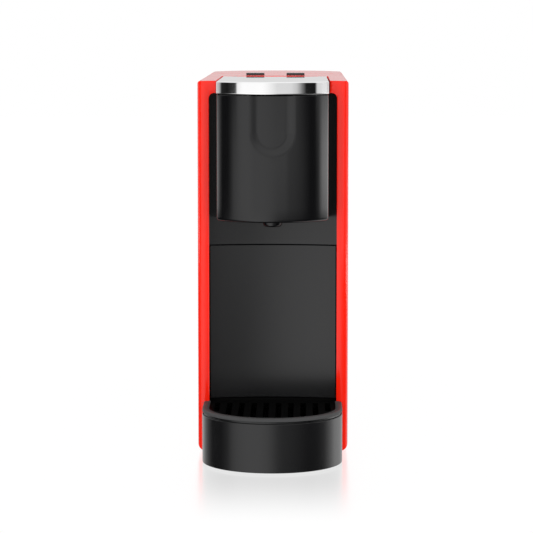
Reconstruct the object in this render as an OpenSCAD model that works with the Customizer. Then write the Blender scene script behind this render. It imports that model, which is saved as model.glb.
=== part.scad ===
// Slim capsule espresso machine, in millimetres.
// X is the width, the front faces -Y and Z is up from the table. The origin is on the table, below the
// middle of the whole machine. Inside machine() y = 0 is the casing's front face.

/* [Casing] */
// Width of the casing
body_w = 112; // [108:1:136]
// Depth of the casing
body_d = 330; // [316:1:396]
// Height of the casing's top edges above the table
body_top = 279.3; // [276:0.1:336]
// Rise of the gently crowned top above its edges
crown_rise = 0.5; // [0.2:0.1:1]
// Height of the casing's lower edge above the table
base_gap = 3.2; // [2.5:0.1:6]
// Wall of the casing
shell = 2.5; // [2:0.1:3]
// Radius of the two upright front edges
edge_r = 5; // [4:0.5:8]
// Radius of the two upright rear edges
rear_r = 26; // [20:1:30]
// Radius along the two long top edges
top_r = 2.4; // [2:0.1:4]
// Radius along the two long bottom edges
sole_r = 5; // [4:0.5:8]
// Width of the red frame on each side of the front opening
frame_w = 8.6; // [7:0.1:10]
// Height of the red frame above the front opening
frame_h = 8.9; // [8:0.1:11]
// Corner radius at the top of the front opening
opening_r = 4; // [2:0.5:8]

/* [Brew head] */
// Half the width of the black head
head_half = 40.8; // [38:0.1:44]
// How far the head stands out of the casing's front
head_reach = 42; // [36:0.5:50]
// Radius of the head's round front
head_r = 51.6; // [48:0.1:60]
// Height of the head's underside
head_bottom = 177.5; // [165:0.5:190]
// Wall of the head
head_wall = 3.5; // [3:0.1:4]
// Half the width of the finger scoop
scoop_half = 14.5; // [10:0.5:18]
// Lowest point of the finger scoop
scoop_bottom = 228; // [220:1:240]
// Depth of the finger scoop
scoop_depth = 1.8; // [0.8:0.1:2]
// Radius of the coffee spout
spout_r = 7.2; // [5:0.1:9]
// How far the spout hangs below the head
spout_drop = 4; // [2:0.5:8]
// Distance of the spout in front of the casing
spout_out = 24; // [20:0.5:28]

/* [Lever] */
// Half the width of the chrome lever
lever_half = 41.2; // [38:0.1:44]
// Depth of the chrome band at the lever's front
lever_h = 9.1; // [8:0.1:12]
// Skin of the chrome cap
lever_skin = 1.5; // [1.2:0.1:2]
// Distance from the casing's front to the lever's hinge
hinge_y = 132; // [126:1:138]
// Radius of the hinge barrel
barrel_r = 2.2; // [2:0.1:2.6]
// Radius of the hinge pin
pin_r = 1.25; // [1:0.05:1.4]

/* [Brew unit] */
// Height of the brew unit's centre line below the casing's top edges
brew_drop = 44.3; // [41:0.1:48]
// Radius of the brew piston
piston_r = 16; // [14:0.5:17]
// Place of the piston's face with the lever shut
piston_face = 38; // [37:0.5:40]
// Radius of the cross axle through the piston
axle_r = 2.5; // [2:0.1:3]
// Length of a toggle link from hole to hole
link_l = 70; // [68:0.5:72]
// Half the inner width between the frame's cheeks
cheek_in = 30; // [29:0.5:31]
// Thickness of a cheek
cheek_t = 3; // [2.5:0.1:3.5]

/* [Front panel] */
// Radius of the hollow front panel
panel_r = 176; // [160:1:220]
// Deepest place of the panel behind the casing's front
panel_deep = 12; // [10:0.5:16]
// Thickness of the panel
panel_t = 2.5; // [2:0.1:3]
// Height of the seam between the panel and the capsule bin
seam_z = 157; // [150:0.5:165]

/* [Capsule bin] */
// Half the width of the bin's box
bin_half = 44; // [40:0.5:45]
// Depth of the bin's box
bin_d = 112; // [90:1:116]
// Wall of the bin
bin_wall = 1.8; // [1.5:0.1:2.5]

/* [Drip tray] */
// Radius and half width of the tray
tray_r = 51.4; // [48:0.1:54]
// Length of the tray's straight sides
tray_side = 31.9; // [24:0.1:40]
// Height of the tray's underside
tray_bottom = 1.45; // [1:0.05:2]
// Height of the tray's rim
tray_top = 41; // [38:0.1:44]
// Width of the flat rim
rim_w = 5; // [4:0.1:7]
// Thickness of the rim
rim_t = 2.5; // [2:0.1:3]
// Wall of the tray
tray_wall = 2; // [1.6:0.1:2.6]
// Number of slots in the cup grille
slot_count = 10; // [8:2:10]
// Spacing of the slots
slot_pitch = 9.05; // [7.5:0.05:9.1]
// Width of a slot
slot_w = 4.1; // [3:0.1:5]

/* [Buttons] */
// Width of a button
key_w = 14.4; // [12:0.1:16]
// Depth of a button
key_d = 14; // [12:0.5:16]
// Height of a button above the casing
key_h = 2; // [1.6:0.1:3]
// Distance of a button's middle from the machine's middle
key_x = 16.2; // [14:0.1:20]
// Distance from the casing's front to the buttons' middle
key_y = 171; // [168:1:175]

/* [Water tank] */
// Distance from the casing's front to the tank bay
bay_y = 227.2; // [222:0.2:240]
// Height of the tank's floor
tank_floor = 63; // [60:1:70]
// Wall of the tank
tank_wall = 2; // [1.6:0.1:2.4]
// Radius of the lid's round front edge, about its hinge
nose_r = 3.4; // [3.2:0.1:3.8]

/* [Fits] */
// Radial clearance of a pin or shaft in its bore
run_fit = 0.05; // [0.02:0.01:0.09]
// Gap around parts that slide past each other
slide_gap = 0.4; // [0.3:0.05:0.6]
// Gap at the seams between covers
seam_gap = 0.5; // [0.4:0.05:0.8]

/* [Hidden] */
$fn = 96;

body_half = body_w / 2;
tray_reach = tray_side + tray_r;
front_y = -(body_d - tray_reach) / 2;
opening_half = body_half - frame_w;
opening_top = body_top - frame_h;
inside_half = body_half - shell;
inside_top = body_top - shell;
sole_top = base_gap + shell;          // upper face of the casing's inturned lower lip
base_t = 2.5;                         // thickness of the base plate
base_top = sole_top + base_t;
lip_half = 44;                        // half width of the hole in the casing's underside
base_half = inside_half - (sole_r - shell) - 0.2;
rear_half = body_half - rear_r - 2;   // half width of the two openings in the casing's rear
window_top = body_top - 15;           // top of the window that shows the water tank
hatch_low = base_top + 2;             // opening that the rear panel closes
hatch_high = tank_floor - 5;
screw_r = 1.5;                        // casing and frame screws
clear_r = 1.7;                        // their clearance holes
foot_x = 34;                          // distance of the feet from the middle
foot_r = 8;
stem_r = 2.5;                         // stem that holds a foot in the base plate

hinge_z = body_top + 0.2 - barrel_r;  // the lever stands a hair above the casing
lever_top = hinge_z + barrel_r;
lever_bottom = lever_top - lever_h;
arc_y = head_r - head_reach;          // centre of the round front

brew_z = body_top - brew_drop;        // centre line of the brew unit
deck_top = lever_bottom - 1.4;        // black deck under the lever
deck_t = 2.5;
panel_cy = panel_deep - panel_r;      // centre of the panel's hollow
shelf_top = tray_top + 0.5;           // shelf that the capsule bin stands on
shelf_t = 3;
bin_bottom = shelf_top + slide_gap;
wall_x = 49;                          // inner face of the chassis walls
wall_t = 2;

throat_half = 19;                     // half the width of the capsule's drop
throat_front = 17;
throat_rear = piston_face - 2;
neck_half = head_half - 8;            // half width of the panel's cut-out behind the head
lug_dy = 20;                          // lever lug's hole ahead of the hinge
lug_dz = 15.3;                        // lever lug's hole below the hinge
lug_y = hinge_y - lug_dy;
lug_z = hinge_z - lug_dz;
rail_top = brew_z - 30;               // rails that the brew unit stands on
rib_t = 3;                            // ribs of the brew unit's frame
axle_y = lug_y - sqrt(link_l * link_l - pow(lug_z - brew_z, 2));
link_tilt = atan2(lug_z - brew_z, lug_y - axle_y);
piston_travel = 21.6;
lug_x = 25;                           // inner face of a lever lug
link_x = 21.5;                        // inner face of a toggle link
link_t = 3;
link_pin_r = 2;
carrier_t = 3;                        // black carrier under the lever's cap
lever_screw_r = 1.1;
tail_l = 36;                          // from the piston's face to the end of its tail
feed_r = 2.5;                         // hot water tube into the piston
feed_end = piston_face + 31.5;        // its open end, inside the piston's tail
duct_r = 4.5;                         // coffee duct to the spout
pump_body_r = 12;                     // pump's lower end
pump_head_r = 11;                     // pump's upper end
port_r = 4;                           // pump's hose ports
hose_t = 1.5;                         // wall of a hose
tube_r = 3;                           // pressure tube
block_top = 140;                      // top of the thermoblock
block_x = 22;                         // its outlet
meter_z = 24;                         // middle of the flow meter
rod_end = 30;                         // how far the heating rod's ends reach in
rod_r = 4;
duct_end = throat_front - 7.5;        // rear end of the coffee duct
spout_flange = 3;

cradle_t = 2;
cradle_y = bay_y - slide_gap - cradle_t;  // front face of the wall ahead of the tank
dock_y = bay_y + 37.8;                // tank outlet
pump_x = -24;
pump_y = cradle_y - 30.8;
heat_y = cradle_y - 55.8;             // front of the thermoblock
feed_turn_y = heat_y + 7;             // where the feed tube turns down to it
block_inlet = [12, heat_y + 33];
rod_at = heat_y + 36;                 // heating rod's two ends
collar_r = 10.5;
collar_z = tank_floor - 8;
cradle_floor = tank_floor - 0.3;      // face that the tank stands on
lid_low = inside_top - 0.2;           // underside of the lid
lid_seat = lid_low - slide_gap;       // top of the casing's walls below it
lid_front = bay_y + slide_gap;
lid_axis_y = lid_front + nose_r;
lid_axis_z = body_top - 2.4;
lid_barrel_r = 1.7;
tank_top = lid_axis_z - nose_r - slide_gap;
tank_inset = 6.2;                     // from the casing's outline to the tank's
ear_x = 44;                           // ears that carry the lid
ear_t = 3;
ear_r = 1.6;
lid_pin_r = 1;

rear_face = body_d - 0.8;             // rear panel and socket lie a little inside the casing's rear
inlet_half = 14;
inlet_low = 20;
inlet_high = 40;

key_board_z = inside_top - 17.5;
board_t = 1.6;
switch_h = 4.4;

tongue_half = 45;                     // the tray's tongue inside the casing
tongue_d = 55;
tongue_top = 35;
groove = 1.6;                         // height and depth of the groove between bowl and rim
bowl_top = tray_top - rim_t - groove;

// Places parts given from the casing's front face
module machine() {
    translate([0, front_y, 0]) children();
}

// A drawing in x and z, made solid from y0 to y1
module along_y(y0, y1) {
    translate([0, y1, 0]) rotate([90, 0, 0]) linear_extrude(y1 - y0) children();
}

// A drawing in y and z, made solid from x0 to x1
module along_x(x0, x1) {
    translate([x0, 0, 0]) rotate([90, 0, 90]) linear_extrude(x1 - x0) children();
}

// A drawing in x and y, made solid from z0 to z1
module upright(z0, z1) {
    translate([0, 0, z0]) linear_extrude(z1 - z0) children();
}

// A box from one corner to the other
module block(low, high) {
    translate(low) cube(high - low);
}

module rod_x(x0, x1, y, z, r) {
    translate([x0, y, z]) rotate([0, 90, 0]) cylinder(h = x1 - x0, r = r);
}

module rod_y(x, y0, y1, z, r) {
    translate([x, y1, z]) rotate([90, 0, 0]) cylinder(h = y1 - y0, r = r);
}

module rod_z(x, y, z0, z1, r) {
    translate([x, y, z0]) cylinder(h = z1 - z0, r = r);
}

// Its children and their mirror image in x
module both_sides() {
    children();
    mirror([1, 0, 0]) children();
}

// Rectangle about x = 0 with radius r0 at its first side and r1 at its last side
module rounded(half, y0, y1, r0, r1) {
    translate([-half, y0 + r0]) square([2 * half, y1 - y0 - r0 - r1]);
    translate([r0 - half, y0]) square([2 * (half - r0), 2 * r0]);
    translate([r1 - half, y1 - 2 * r1]) square([2 * (half - r1), 2 * r1]);
    for (side = [-1, 1]) {
        translate([side * (half - r0), y0 + r0]) circle(r = r0);
        translate([side * (half - r1), y1 - r1]) circle(r = r1);
    }
}

// The casing's outline from above, drawn in by an inset
module casing_plan(inset) {
    rounded(body_half - inset, inset, body_d - inset, max(edge_r - inset, 1), rear_r - inset);
}

// The casing's outer form, or its inside when it is drawn in by the shell
module casing_form(inset) {
    intersection() {
        upright(base_gap, body_top + crown_rise) casing_plan(inset);
        union() {
            along_y(-1, body_d + 1) rounded(body_half - inset, base_gap + inset, body_top - inset,
                sole_r - inset, max(top_r - inset, 0.5));
            if (inset == 0) along_y(-1, body_d + 1) crown();
        }
    }
}

// Section of the crowned top across the machine
module crown() {
    strips = 12;
    half = body_half - top_r;
    arc = [for (i = [-strips : strips]) let (x = i * half / strips)
        [x, body_top + crown_rise * (1 - x * x / (half * half))]];
    polygon(concat(arc, [[half, body_top - top_r], [-half, body_top - top_r]]));
}

// Outline of the tank bay: the casing's rear part, drawn in by an inset, from y0 back
module bay_plan(inset, y0) {
    intersection() {
        casing_plan(inset);
        translate([-body_half, y0]) square([body_w, body_d]);
    }
}

// Plan of head and lever: straight sides and a round front
module head_plan(half, radius, rear) {
    intersection() {
        translate([0, arc_y]) circle(r = radius, $fn = 180);
        translate([-half, -head_reach - 5]) square([2 * half, head_reach + 5 + min(rear, arc_y)]);
    }
    if (rear > arc_y) translate([-half, arc_y - 1]) square([2 * half, rear - arc_y + 1]);
}

// A coil spring of round wire, standing on z = 0
module coil(radius, wire, turns, height) {
    steps = turns * 12;
    sides = 6;
    rise = height - 2 * wire;
    points = [for (i = [0 : steps]) for (k = [0 : sides - 1])
        let (a = i * 30, b = k * 360 / sides, out = radius + wire * cos(b))
        [out * cos(a), out * sin(a), wire + rise * i / steps + wire * sin(b)]];
    skin = [for (i = [0 : steps - 1]) for (k = [0 : sides - 1])
        let (n = (k + 1) % sides)
        [i * sides + k, i * sides + n, (i + 1) * sides + n, (i + 1) * sides + k]];
    first = [for (k = [0 : sides - 1]) sides - 1 - k];
    last = [for (k = [0 : sides - 1]) steps * sides + k];
    polyhedron(points = points, faces = concat([first], skin, [last]), convexity = 6);
}

// A screw driven along +z, with its head below z = 0 and a crossed recess
module screw(shank, length, head, thick) {
    difference() {
        union() {
            cylinder(h = length, r = shank, $fn = 24);
            translate([0, 0, -thick]) cylinder(h = thick, r = head, $fn = 32);
        }
        for (turn = [0, 90]) rotate(turn) {
            translate([-head * 0.6, -0.4, -thick - 0.1]) cube([head * 1.2, 0.8, thick * 0.6]);
        }
    }
}

// ---- Housing ----

// One red wrap: top, sides, rear and the frame round the front opening
module outer_casing() {
    notch_rear = hinge_y + barrel_r + seam_gap;
    notch_half = lever_half + 1;
    lip_front = shell + 5;
    lip_rear = body_d - 12;
    color([0.86, 0.08, 0.05]) machine() difference() {
        casing_form(0);
        casing_form(shell);
        along_y(-1, shell + 1) rounded(opening_half, base_top, opening_top, 1, opening_r);
        block([-notch_half, -1, lever_bottom - 5], [notch_half, notch_rear, body_top + 1]);
        block([-lip_half, lip_front, 0], [lip_half, lip_rear, sole_top + 1]);
        both_sides() key_hole();
        block([-body_half - 1, bay_y, lid_seat], [body_half + 1, body_d + 1, body_top + 2]);
        rear_opening(tank_floor, window_top);
        rear_opening(hatch_low, hatch_high);
        both_sides() for (y = base_screw_ys()) rod_z(base_screw_x(), y, 0, sole_top + 1, clear_r);
    }
}

module rear_opening(z0, z1) {
    block([-rear_half, body_d - shell - 1, z0], [rear_half, body_d + 1, z1]);
}

module key_hole() {
    block([key_x - key_w / 2 - slide_gap, key_y - key_d / 2 - slide_gap, inside_top - 1],
        [key_x + key_w / 2 + slide_gap, key_y + key_d / 2 + slide_gap, body_top + 1]);
}

function base_screw_ys() = [30, body_d / 2, body_d - 30];
function base_screw_x() = (lip_half + inside_half) / 2;

// Black floor of the machine, with rails for the drip tray and a row of vents
module base_plate() {
    edge = shell + 0.4;
    rail_h = 8;
    boss_h = 7;
    vent_half = 14;
    color([0.09, 0.09, 0.09]) machine() difference() {
        union() {
            upright(sole_top, base_top) rounded(base_half, edge, body_d - edge, edge_r - shell,
                rear_r - edge);
            both_sides() {
                block([tongue_half + slide_gap, 6, base_top - 1],
                    [tongue_half + 2.4, tongue_d + 5, base_top + rail_h]);
                for (y = base_screw_ys())
                    rod_z(base_screw_x(), y, base_top - 1, base_top + boss_h, screw_r + 1.7);
            }
        }
        both_sides() {
            for (y = base_screw_ys()) {
                rod_z(base_screw_x(), y, sole_top - 1, base_top + boss_h - 1, screw_r);
            }
            for (y = foot_ys()) rod_z(foot_x, y, sole_top - 1, base_top + 1, stem_r);
        }
        for (y = [90 : 9 : 135]) block([-vent_half, y, sole_top - 1], [vent_half, y + 4, base_top + 1]);
    }
}

function foot_ys() = [24, body_d - 26];

module rubber_feet() {
    color([0.05, 0.05, 0.05]) machine() both_sides() for (y = foot_ys()) {
        rod_z(foot_x, y, 0, sole_top, foot_r);
        rod_z(foot_x, y, sole_top, base_top, stem_r);
    }
}

module base_screws() {
    color([0.7, 0.7, 0.72]) machine() both_sides() for (y = base_screw_ys()) {
        translate([base_screw_x(), y, base_gap]) screw(screw_r, base_top + 5 - base_gap, 3, 1.5);
    }
}

// Inner frame: two tall walls with windows, the shelf under the capsule bin and two rails that the
// brew unit stands on
module chassis() {
    wall_front = 8;
    shelf_rear = 134;
    rail_x = cheek_in + cheek_t + 8;
    color([0.13, 0.13, 0.13]) machine() difference() {
        union() {
            both_sides() {
                block([wall_x, wall_front, base_top], [wall_x + wall_t, cradle_y, inside_top - 3]);
                block([rail_x, 18, rail_top - 4], [wall_x + 1, 128, rail_top]);
                block([rail_x + 3, 18, rail_top - 12], [wall_x + 1, 128, rail_top - 3]);
            }
            block([-wall_x - 1, wall_front, shelf_top - shelf_t], [wall_x + 1, shelf_rear, shelf_top]);
            block([-wall_x - 1, shelf_rear - 2, base_top], [wall_x + 1, shelf_rear, shelf_top + 60]);
        }
        for (z = [70, 125, 215]) along_x(-body_half, body_half)
            translate([40, z - 15]) square([70, 30]);
        both_sides() {
            for (y = frame_screw_ys()) rod_z(frame_screw_x(), y, 180, rail_top + 5, screw_r);
            for (y = base_screw_ys()) {
                block([wall_x - 5, y - 4.5, base_top - 1], [wall_x + wall_t + 1, y + 4.5, base_top + 9]);
            }
        }
    }
}

function frame_screw_ys() = [30, 115];
function frame_screw_x() = cheek_in + cheek_t + 12.5;

// Brew unit frame: two cheeks with the piston's guide slots, the lever's hinge knuckles and its feet
module brew_frame() {
    cheek_top = deck_top - deck_t;
    cheek_low = seam_z + 3;
    rear_low = 70;
    slot_h = 2 * axle_r + 0.2;
    color([0.2, 0.2, 0.2]) machine() difference() {
        union() {
            both_sides() {
                along_x(cheek_in, cheek_in + cheek_t) {
                    translate([throat_front - 4, cheek_low]) square([60, cheek_top - cheek_low]);
                    translate([rear_low, rail_top]) square([hinge_y - rear_low, cheek_top - rail_top]);
                    translate([hinge_y - 6, brew_z]) square([6 + barrel_r, hinge_z - brew_z]);
                }
                rod_x(cheek_in, cheek_in + cheek_t, hinge_y, hinge_z, barrel_r);
                block([cheek_in + 1, 20, rail_top], [wall_x - 0.5, 126, rail_top + rib_t]);
            }
            cross_rib(throat_front - 7, throat_front - 3, brew_z - 25, brew_z + 25);
            cross_rib(hinge_y - 4, hinge_y - 1, brew_z - 20, brew_z + 12);
            cross_rib(74, 74 + rib_t, cheek_low, rail_top + 4);
            rod_y(0, hinge_y - 14, hinge_y - 3, brew_z, 7);
        }
        both_sides() along_x(cheek_in - 1, cheek_in + cheek_t + 1) {
            translate([axle_y - axle_r - 1, brew_z - slot_h / 2])
                square([piston_travel + 2 * axle_r + 2, slot_h]);
        }
        rod_x(-body_half, body_half, hinge_y, hinge_z, pin_r + run_fit);
        rod_y(0, 0, 40, brew_z, duct_r + 0.5);
        rod_y(0, 80, 200, brew_z, feed_r);
        both_sides() for (y = frame_screw_ys()) rod_z(frame_screw_x(), y, 200, rail_top + 4, clear_r);
    }
}

// Rib from cheek to cheek
module cross_rib(y0, y1, z0, z1) {
    block([-cheek_in - 1, y0, z0], [cheek_in + 1, y1, z1]);
}

module frame_screws() {
    color([0.7, 0.7, 0.72]) machine() both_sides() for (y = frame_screw_ys()) {
        translate([frame_screw_x(), y, rail_top + rib_t]) rotate([180, 0, 0]) screw(screw_r, 12, 2.8, 1.5);
    }
}

// Black deck under the lever, with the capsule's mouth and slots for the lever's lugs. It runs forward
// between the panel's two sides and closes the head from above.
module chute_deck() {
    inset = head_wall + slide_gap;
    chute_t = 1.5;
    color([0.07, 0.07, 0.07]) machine() difference() {
        union() {
            upright(deck_top - deck_t, deck_top) {
                difference() {
                    translate([-lever_half, panel_deep - 3])
                        square([2 * lever_half, hinge_y - 8 - panel_deep]);
                    translate([0, panel_cy]) circle(r = panel_r + panel_t + 0.2, $fn = 360);
                }
                translate([-(neck_half - slide_gap), -spout_out])
                    square([2 * (neck_half - slide_gap), spout_out + 40]);
                intersection() {
                    head_plan(head_half - inset, head_r - inset, panel_deep - 8);
                    translate([-head_half, -head_reach]) square([2 * head_half, head_reach + 4]);
                }
            }
            block([-throat_half - chute_t, throat_front - chute_t, brew_z + 20],
                [throat_half + chute_t, throat_rear + chute_t, deck_top]);
        }
        block([-throat_half, throat_front, brew_z], [throat_half, throat_rear, deck_top + 1]);
        both_sides() block([link_x - 2, 60, deck_top - deck_t - 1], [lug_x + 4, hinge_y, deck_top + 1]);
    }
}

// Hollow sheet of the front: an arc of the panel's radius from x = -half to half
module panel_arc(half) {
    intersection() {
        difference() {
            translate([0, panel_cy]) circle(r = panel_r + panel_t, $fn = 360);
            translate([0, panel_cy]) circle(r = panel_r, $fn = 360);
        }
        translate([-half, 0]) square([2 * half, 40]);
    }
}

module front_panel() {
    color([0.15, 0.15, 0.15]) machine() difference() {
        upright(seam_z + seam_gap / 2, opening_top) panel_arc(inside_half - 1.5);
        block([-neck_half, 0, head_bottom + 8], [neck_half, 40, opening_top + 1]);
    }
}

// Gloss black cover of the brew head, with the finger scoop under the lever's lip
module head_cover() {
    top = lever_bottom - seam_gap;
    color([0.05, 0.05, 0.05]) machine() difference() {
        intersection() {
            upright(head_bottom, top) head_plan(head_half, head_r, panel_deep);
            translate([0, panel_cy, head_bottom - 1]) cylinder(h = 120, r = panel_r - 0.2, $fn = 360);
        }
        upright(head_bottom + head_wall, top + 1)
            head_plan(head_half - head_wall, head_r - head_wall, panel_deep + 1);
        difference() {
            along_y(-head_reach - 1, arc_y - 20) {
                translate([-scoop_half, scoop_bottom + scoop_half])
                    square([2 * scoop_half, top - scoop_bottom]);
                translate([0, scoop_bottom + scoop_half]) circle(r = scoop_half);
            }
            translate([0, arc_y, 0]) cylinder(h = body_top, r = head_r - scoop_depth, $fn = 180);
        }
        rod_z(0, -spout_out, head_bottom - 1, head_bottom + head_wall + 1, spout_r);
    }
}

// Outlet plate with the spikes that open the capsule
module outlet_plate() {
    plate_r = 15;
    plate_rear = throat_front - 3;
    hole_ring = 9;
    spike_ring = 6;
    color([0.75, 0.75, 0.77]) machine() {
        difference() {
            rod_y(0, plate_rear, throat_front, brew_z, plate_r);
            for (a = [0 : 45 : 315]) translate([hole_ring * cos(a), 0, hole_ring * sin(a)])
                rod_y(0, plate_rear - 1, throat_front + 1, brew_z, 1.2);
        }
        for (a = [22.5 : 90 : 300]) translate([spike_ring * cos(a), throat_front, spike_ring * sin(a)])
            translate([0, 0, brew_z]) rotate([-90, 0, 0]) cylinder(h = 2.5, r1 = 1.4, r2 = 0.2, $fn = 24);
        rod_y(0, duct_end, plate_rear, brew_z, duct_r + 0.4);
    }
}

// Coffee duct from the outlet plate forward and down to the spout
module outlet_duct() {
    color([0.25, 0.25, 0.25]) machine() {
        rod_y(0, -spout_out, duct_end, brew_z, duct_r);
        translate([0, -spout_out, brew_z]) sphere(r = duct_r);
        rod_z(0, -spout_out, head_bottom + head_wall + spout_flange, brew_z, duct_r);
    }
}

// Spout: a flange inside the head, a round nozzle below it and two coffee holes
module spout() {
    spout_bottom = head_bottom - spout_drop;
    floor_top = head_bottom + head_wall;
    mouth_wall = 1.6;
    color([0.06, 0.06, 0.06]) machine() difference() {
        union() {
            rod_z(0, -spout_out, spout_bottom, floor_top, spout_r);
            rod_z(0, -spout_out, floor_top, floor_top + spout_flange, spout_r + 2);
        }
        rod_z(0, -spout_out, spout_bottom - 1, spout_bottom + 6, spout_r - mouth_wall);
        for (x = [-3, 3]) rod_z(x, -spout_out, spout_bottom, head_bottom + 10, 1.4);
    }
}

// Steel pin through the lever's barrel and the frame's knuckles
module lever_pin() {
    color([0.75, 0.75, 0.77]) machine() rod_x(-lever_half + 1, lever_half - 1, hinge_y, hinge_z, pin_r);
}

// Steel tube that feeds hot water into the piston's tail, down to the thermoblock
module feed_tube() {
    bend_z = block_top + 20;
    color([0.75, 0.75, 0.77]) machine() {
        rod_y(0, feed_end, feed_turn_y, brew_z, feed_r);
        translate([0, feed_turn_y, brew_z]) sphere(r = feed_r);
        rod_z(0, feed_turn_y, bend_z, brew_z, feed_r);
        translate([0, feed_turn_y, bend_z]) sphere(r = feed_r);
        rod_x(0, block_x, feed_turn_y, bend_z, feed_r);
        translate([block_x, feed_turn_y, bend_z]) sphere(r = feed_r);
        rod_z(block_x, feed_turn_y, block_top + 2, bend_z, feed_r);
    }
}

// ---- Water and heat ----

// Cast water heater with two sockets, cooling ribs and bores for the heating rod
module thermoblock() {
    left = 4;
    right = 44;
    color([0.72, 0.73, 0.74]) machine() difference() {
        union() {
            block([left, heat_y, 82], [right, heat_y + 46, block_top]);
            rod_z(block_x, feed_turn_y, block_top, block_top + 2, 6);
            rod_z(block_inlet[0], block_inlet[1], block_top, block_top + 4, 6);
            for (z = [90 : 8 : 132]) block([right, heat_y + 5, z], [right + 3, heat_y + 41, z + 3]);
        }
        for (z = rod_zs()) rod_x(0, rod_end, rod_at, z, rod_r);
    }
}

function rod_zs() = [92, 128];

// Heating rod's two ends with their flat terminals
module heating_rod() {
    color([0.5, 0.48, 0.46]) machine() for (z = rod_zs()) {
        rod_x(0, rod_end, rod_at, z, rod_r);
        block([-4, rod_at - 0.4, z - 2.4], [0, rod_at + 0.4, z + 2.4]);
    }
}

// Thermostat on the heater's top, with two blade terminals
module thermostat() {
    can_top = block_top + 5;
    can_y = heat_y + 27;
    color([0.8, 0.78, 0.7]) machine() {
        rod_z(34, can_y, block_top, can_top, 7);
        for (x = [30, 38]) block([x - 1, can_y - 3, can_top], [x + 1, can_y + 3, can_top + 6]);
    }
}

// Vibration pump standing on end: coil, iron frame and the two water ends
module pump() {
    low = 92;
    high = 134;
    iron_t = 2.5;
    color([0.16, 0.16, 0.17]) machine() {
        block([pump_x - 17, pump_y - 18, low], [pump_x + 17, pump_y + 18, high]);
        rod_z(pump_x, pump_y, low - 20, low, pump_body_r);
        rod_z(pump_x, pump_y, high, high + 22, pump_head_r);
        rod_z(pump_x, pump_y, low - 28, low - 20, port_r);
        rod_z(pump_x, pump_y, high + 22, high + 30, port_r);
        difference() {
            block([pump_x - 19, pump_y - 14, low - iron_t], [pump_x + 19, pump_y + 14, high + iron_t]);
            block([pump_x - 20, pump_y - 15, low + 1], [pump_x + 20, pump_y + 15, high - 1]);
        }
    }
}

// Rubber rings that hold the pump's two ends on the wall ahead of the tank
module pump_mounts() {
    color([0.04, 0.04, 0.04]) machine() {
        pump_mount(76, pump_body_r);
        pump_mount(146, pump_head_r);
    }
}

module pump_mount(z, bore) {
    ring_h = 8;
    difference() {
        union() {
            rod_z(pump_x, pump_y, z, z + ring_h, bore + 4);
            block([pump_x - 8, pump_y, z], [pump_x + 8, cradle_y, z + ring_h]);
        }
        rod_z(pump_x, pump_y, z - 1, z + ring_h + 1, bore);
    }
}

module flow_meter() {
    color([0.85, 0.85, 0.82]) machine() {
        rod_z(0, dock_y, meter_z - 6, meter_z + 6, 14);
        rod_z(0, dock_y, meter_z + 6, meter_z + 12, 3);
        rod_x(-20, -10, dock_y, meter_z, 3);
    }
}

// Short clear hose from the tank's dock to the flow meter
module suction_hose() {
    color([0.8, 0.82, 0.8]) machine() difference() {
        rod_z(0, dock_y, meter_z + 7, meter_z + 19, 5);
        rod_z(0, dock_y, meter_z + 6, meter_z + 20, 3);
    }
}

// Clear hose from the flow meter forward and up to the pump
module pump_hose() {
    hose_r = port_r + 0.5;
    color([0.8, 0.82, 0.8]) machine() difference() {
        union() {
            rod_x(pump_x, -14.5, dock_y, meter_z, hose_r);
            translate([pump_x, dock_y, meter_z]) sphere(r = hose_r);
            rod_y(pump_x, pump_y, dock_y, meter_z, hose_r);
            translate([pump_x, pump_y, meter_z]) sphere(r = hose_r);
            rod_z(pump_x, pump_y, meter_z, 71, port_r + hose_t);
        }
        rod_x(-20, -10, dock_y, meter_z, 3);
        rod_z(pump_x, pump_y, 64, 72, port_r);
    }
}

// White pressure tube from the pump over to the heater
module pressure_tube() {
    bridge_z = 178;
    color([0.9, 0.9, 0.86]) machine() difference() {
        union() {
            rod_z(pump_x, pump_y, bridge_z - 20, bridge_z - 4, port_r + hose_t);
            rod_z(pump_x, pump_y, bridge_z - 5, bridge_z, tube_r);
            translate([pump_x, pump_y, bridge_z]) sphere(r = tube_r);
            rod_x(pump_x, block_inlet[0], pump_y, bridge_z, tube_r);
            translate([block_inlet[0], pump_y, bridge_z]) sphere(r = tube_r);
            rod_y(block_inlet[0], pump_y, block_inlet[1], bridge_z, tube_r);
            translate([block_inlet[0], block_inlet[1], bridge_z]) sphere(r = tube_r);
            rod_z(block_inlet[0], block_inlet[1], block_top + 4, bridge_z, tube_r);
        }
        rod_z(pump_x, pump_y, 150, 164, port_r);
    }
}

// Wall and floor that carry the water tank
module tank_cradle() {
    rib_x = 29;
    side = inside_half - 0.4;
    color([0.12, 0.12, 0.12]) machine() difference() {
        union() {
            block([-side, cradle_y, base_top], [side, cradle_y + cradle_t, inside_top - 1]);
            upright(cradle_floor - cradle_t, cradle_floor) bay_plan(shell + 0.4, cradle_y);
            both_sides() {
                block([rib_x, cradle_y + 1, base_top], [rib_x + 2.5, body_d - 12, cradle_floor - 1]);
                for (z = rear_screw_zs()) {
                    rod_y(rear_screw_x(), body_d - 24, body_d - shell - 2.6, z, screw_r + 1.9);
                    block([rear_screw_x(), body_d - 24, z - 2], [rib_x + 1, body_d - 14, z + 2]);
                }
            }
        }
        rod_z(0, dock_y, 0, cradle_floor + 1, collar_r + 3);
        rod_y(pump_x, cradle_y - 5, cradle_y + 5, meter_z, port_r + 1);
        both_sides() for (z = rear_screw_zs()) rod_y(rear_screw_x(), body_d - 20, body_d, z, screw_r);
    }
}

function rear_screw_x() = rear_half - 6;
function rear_screw_zs() = [17, 50];

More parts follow.
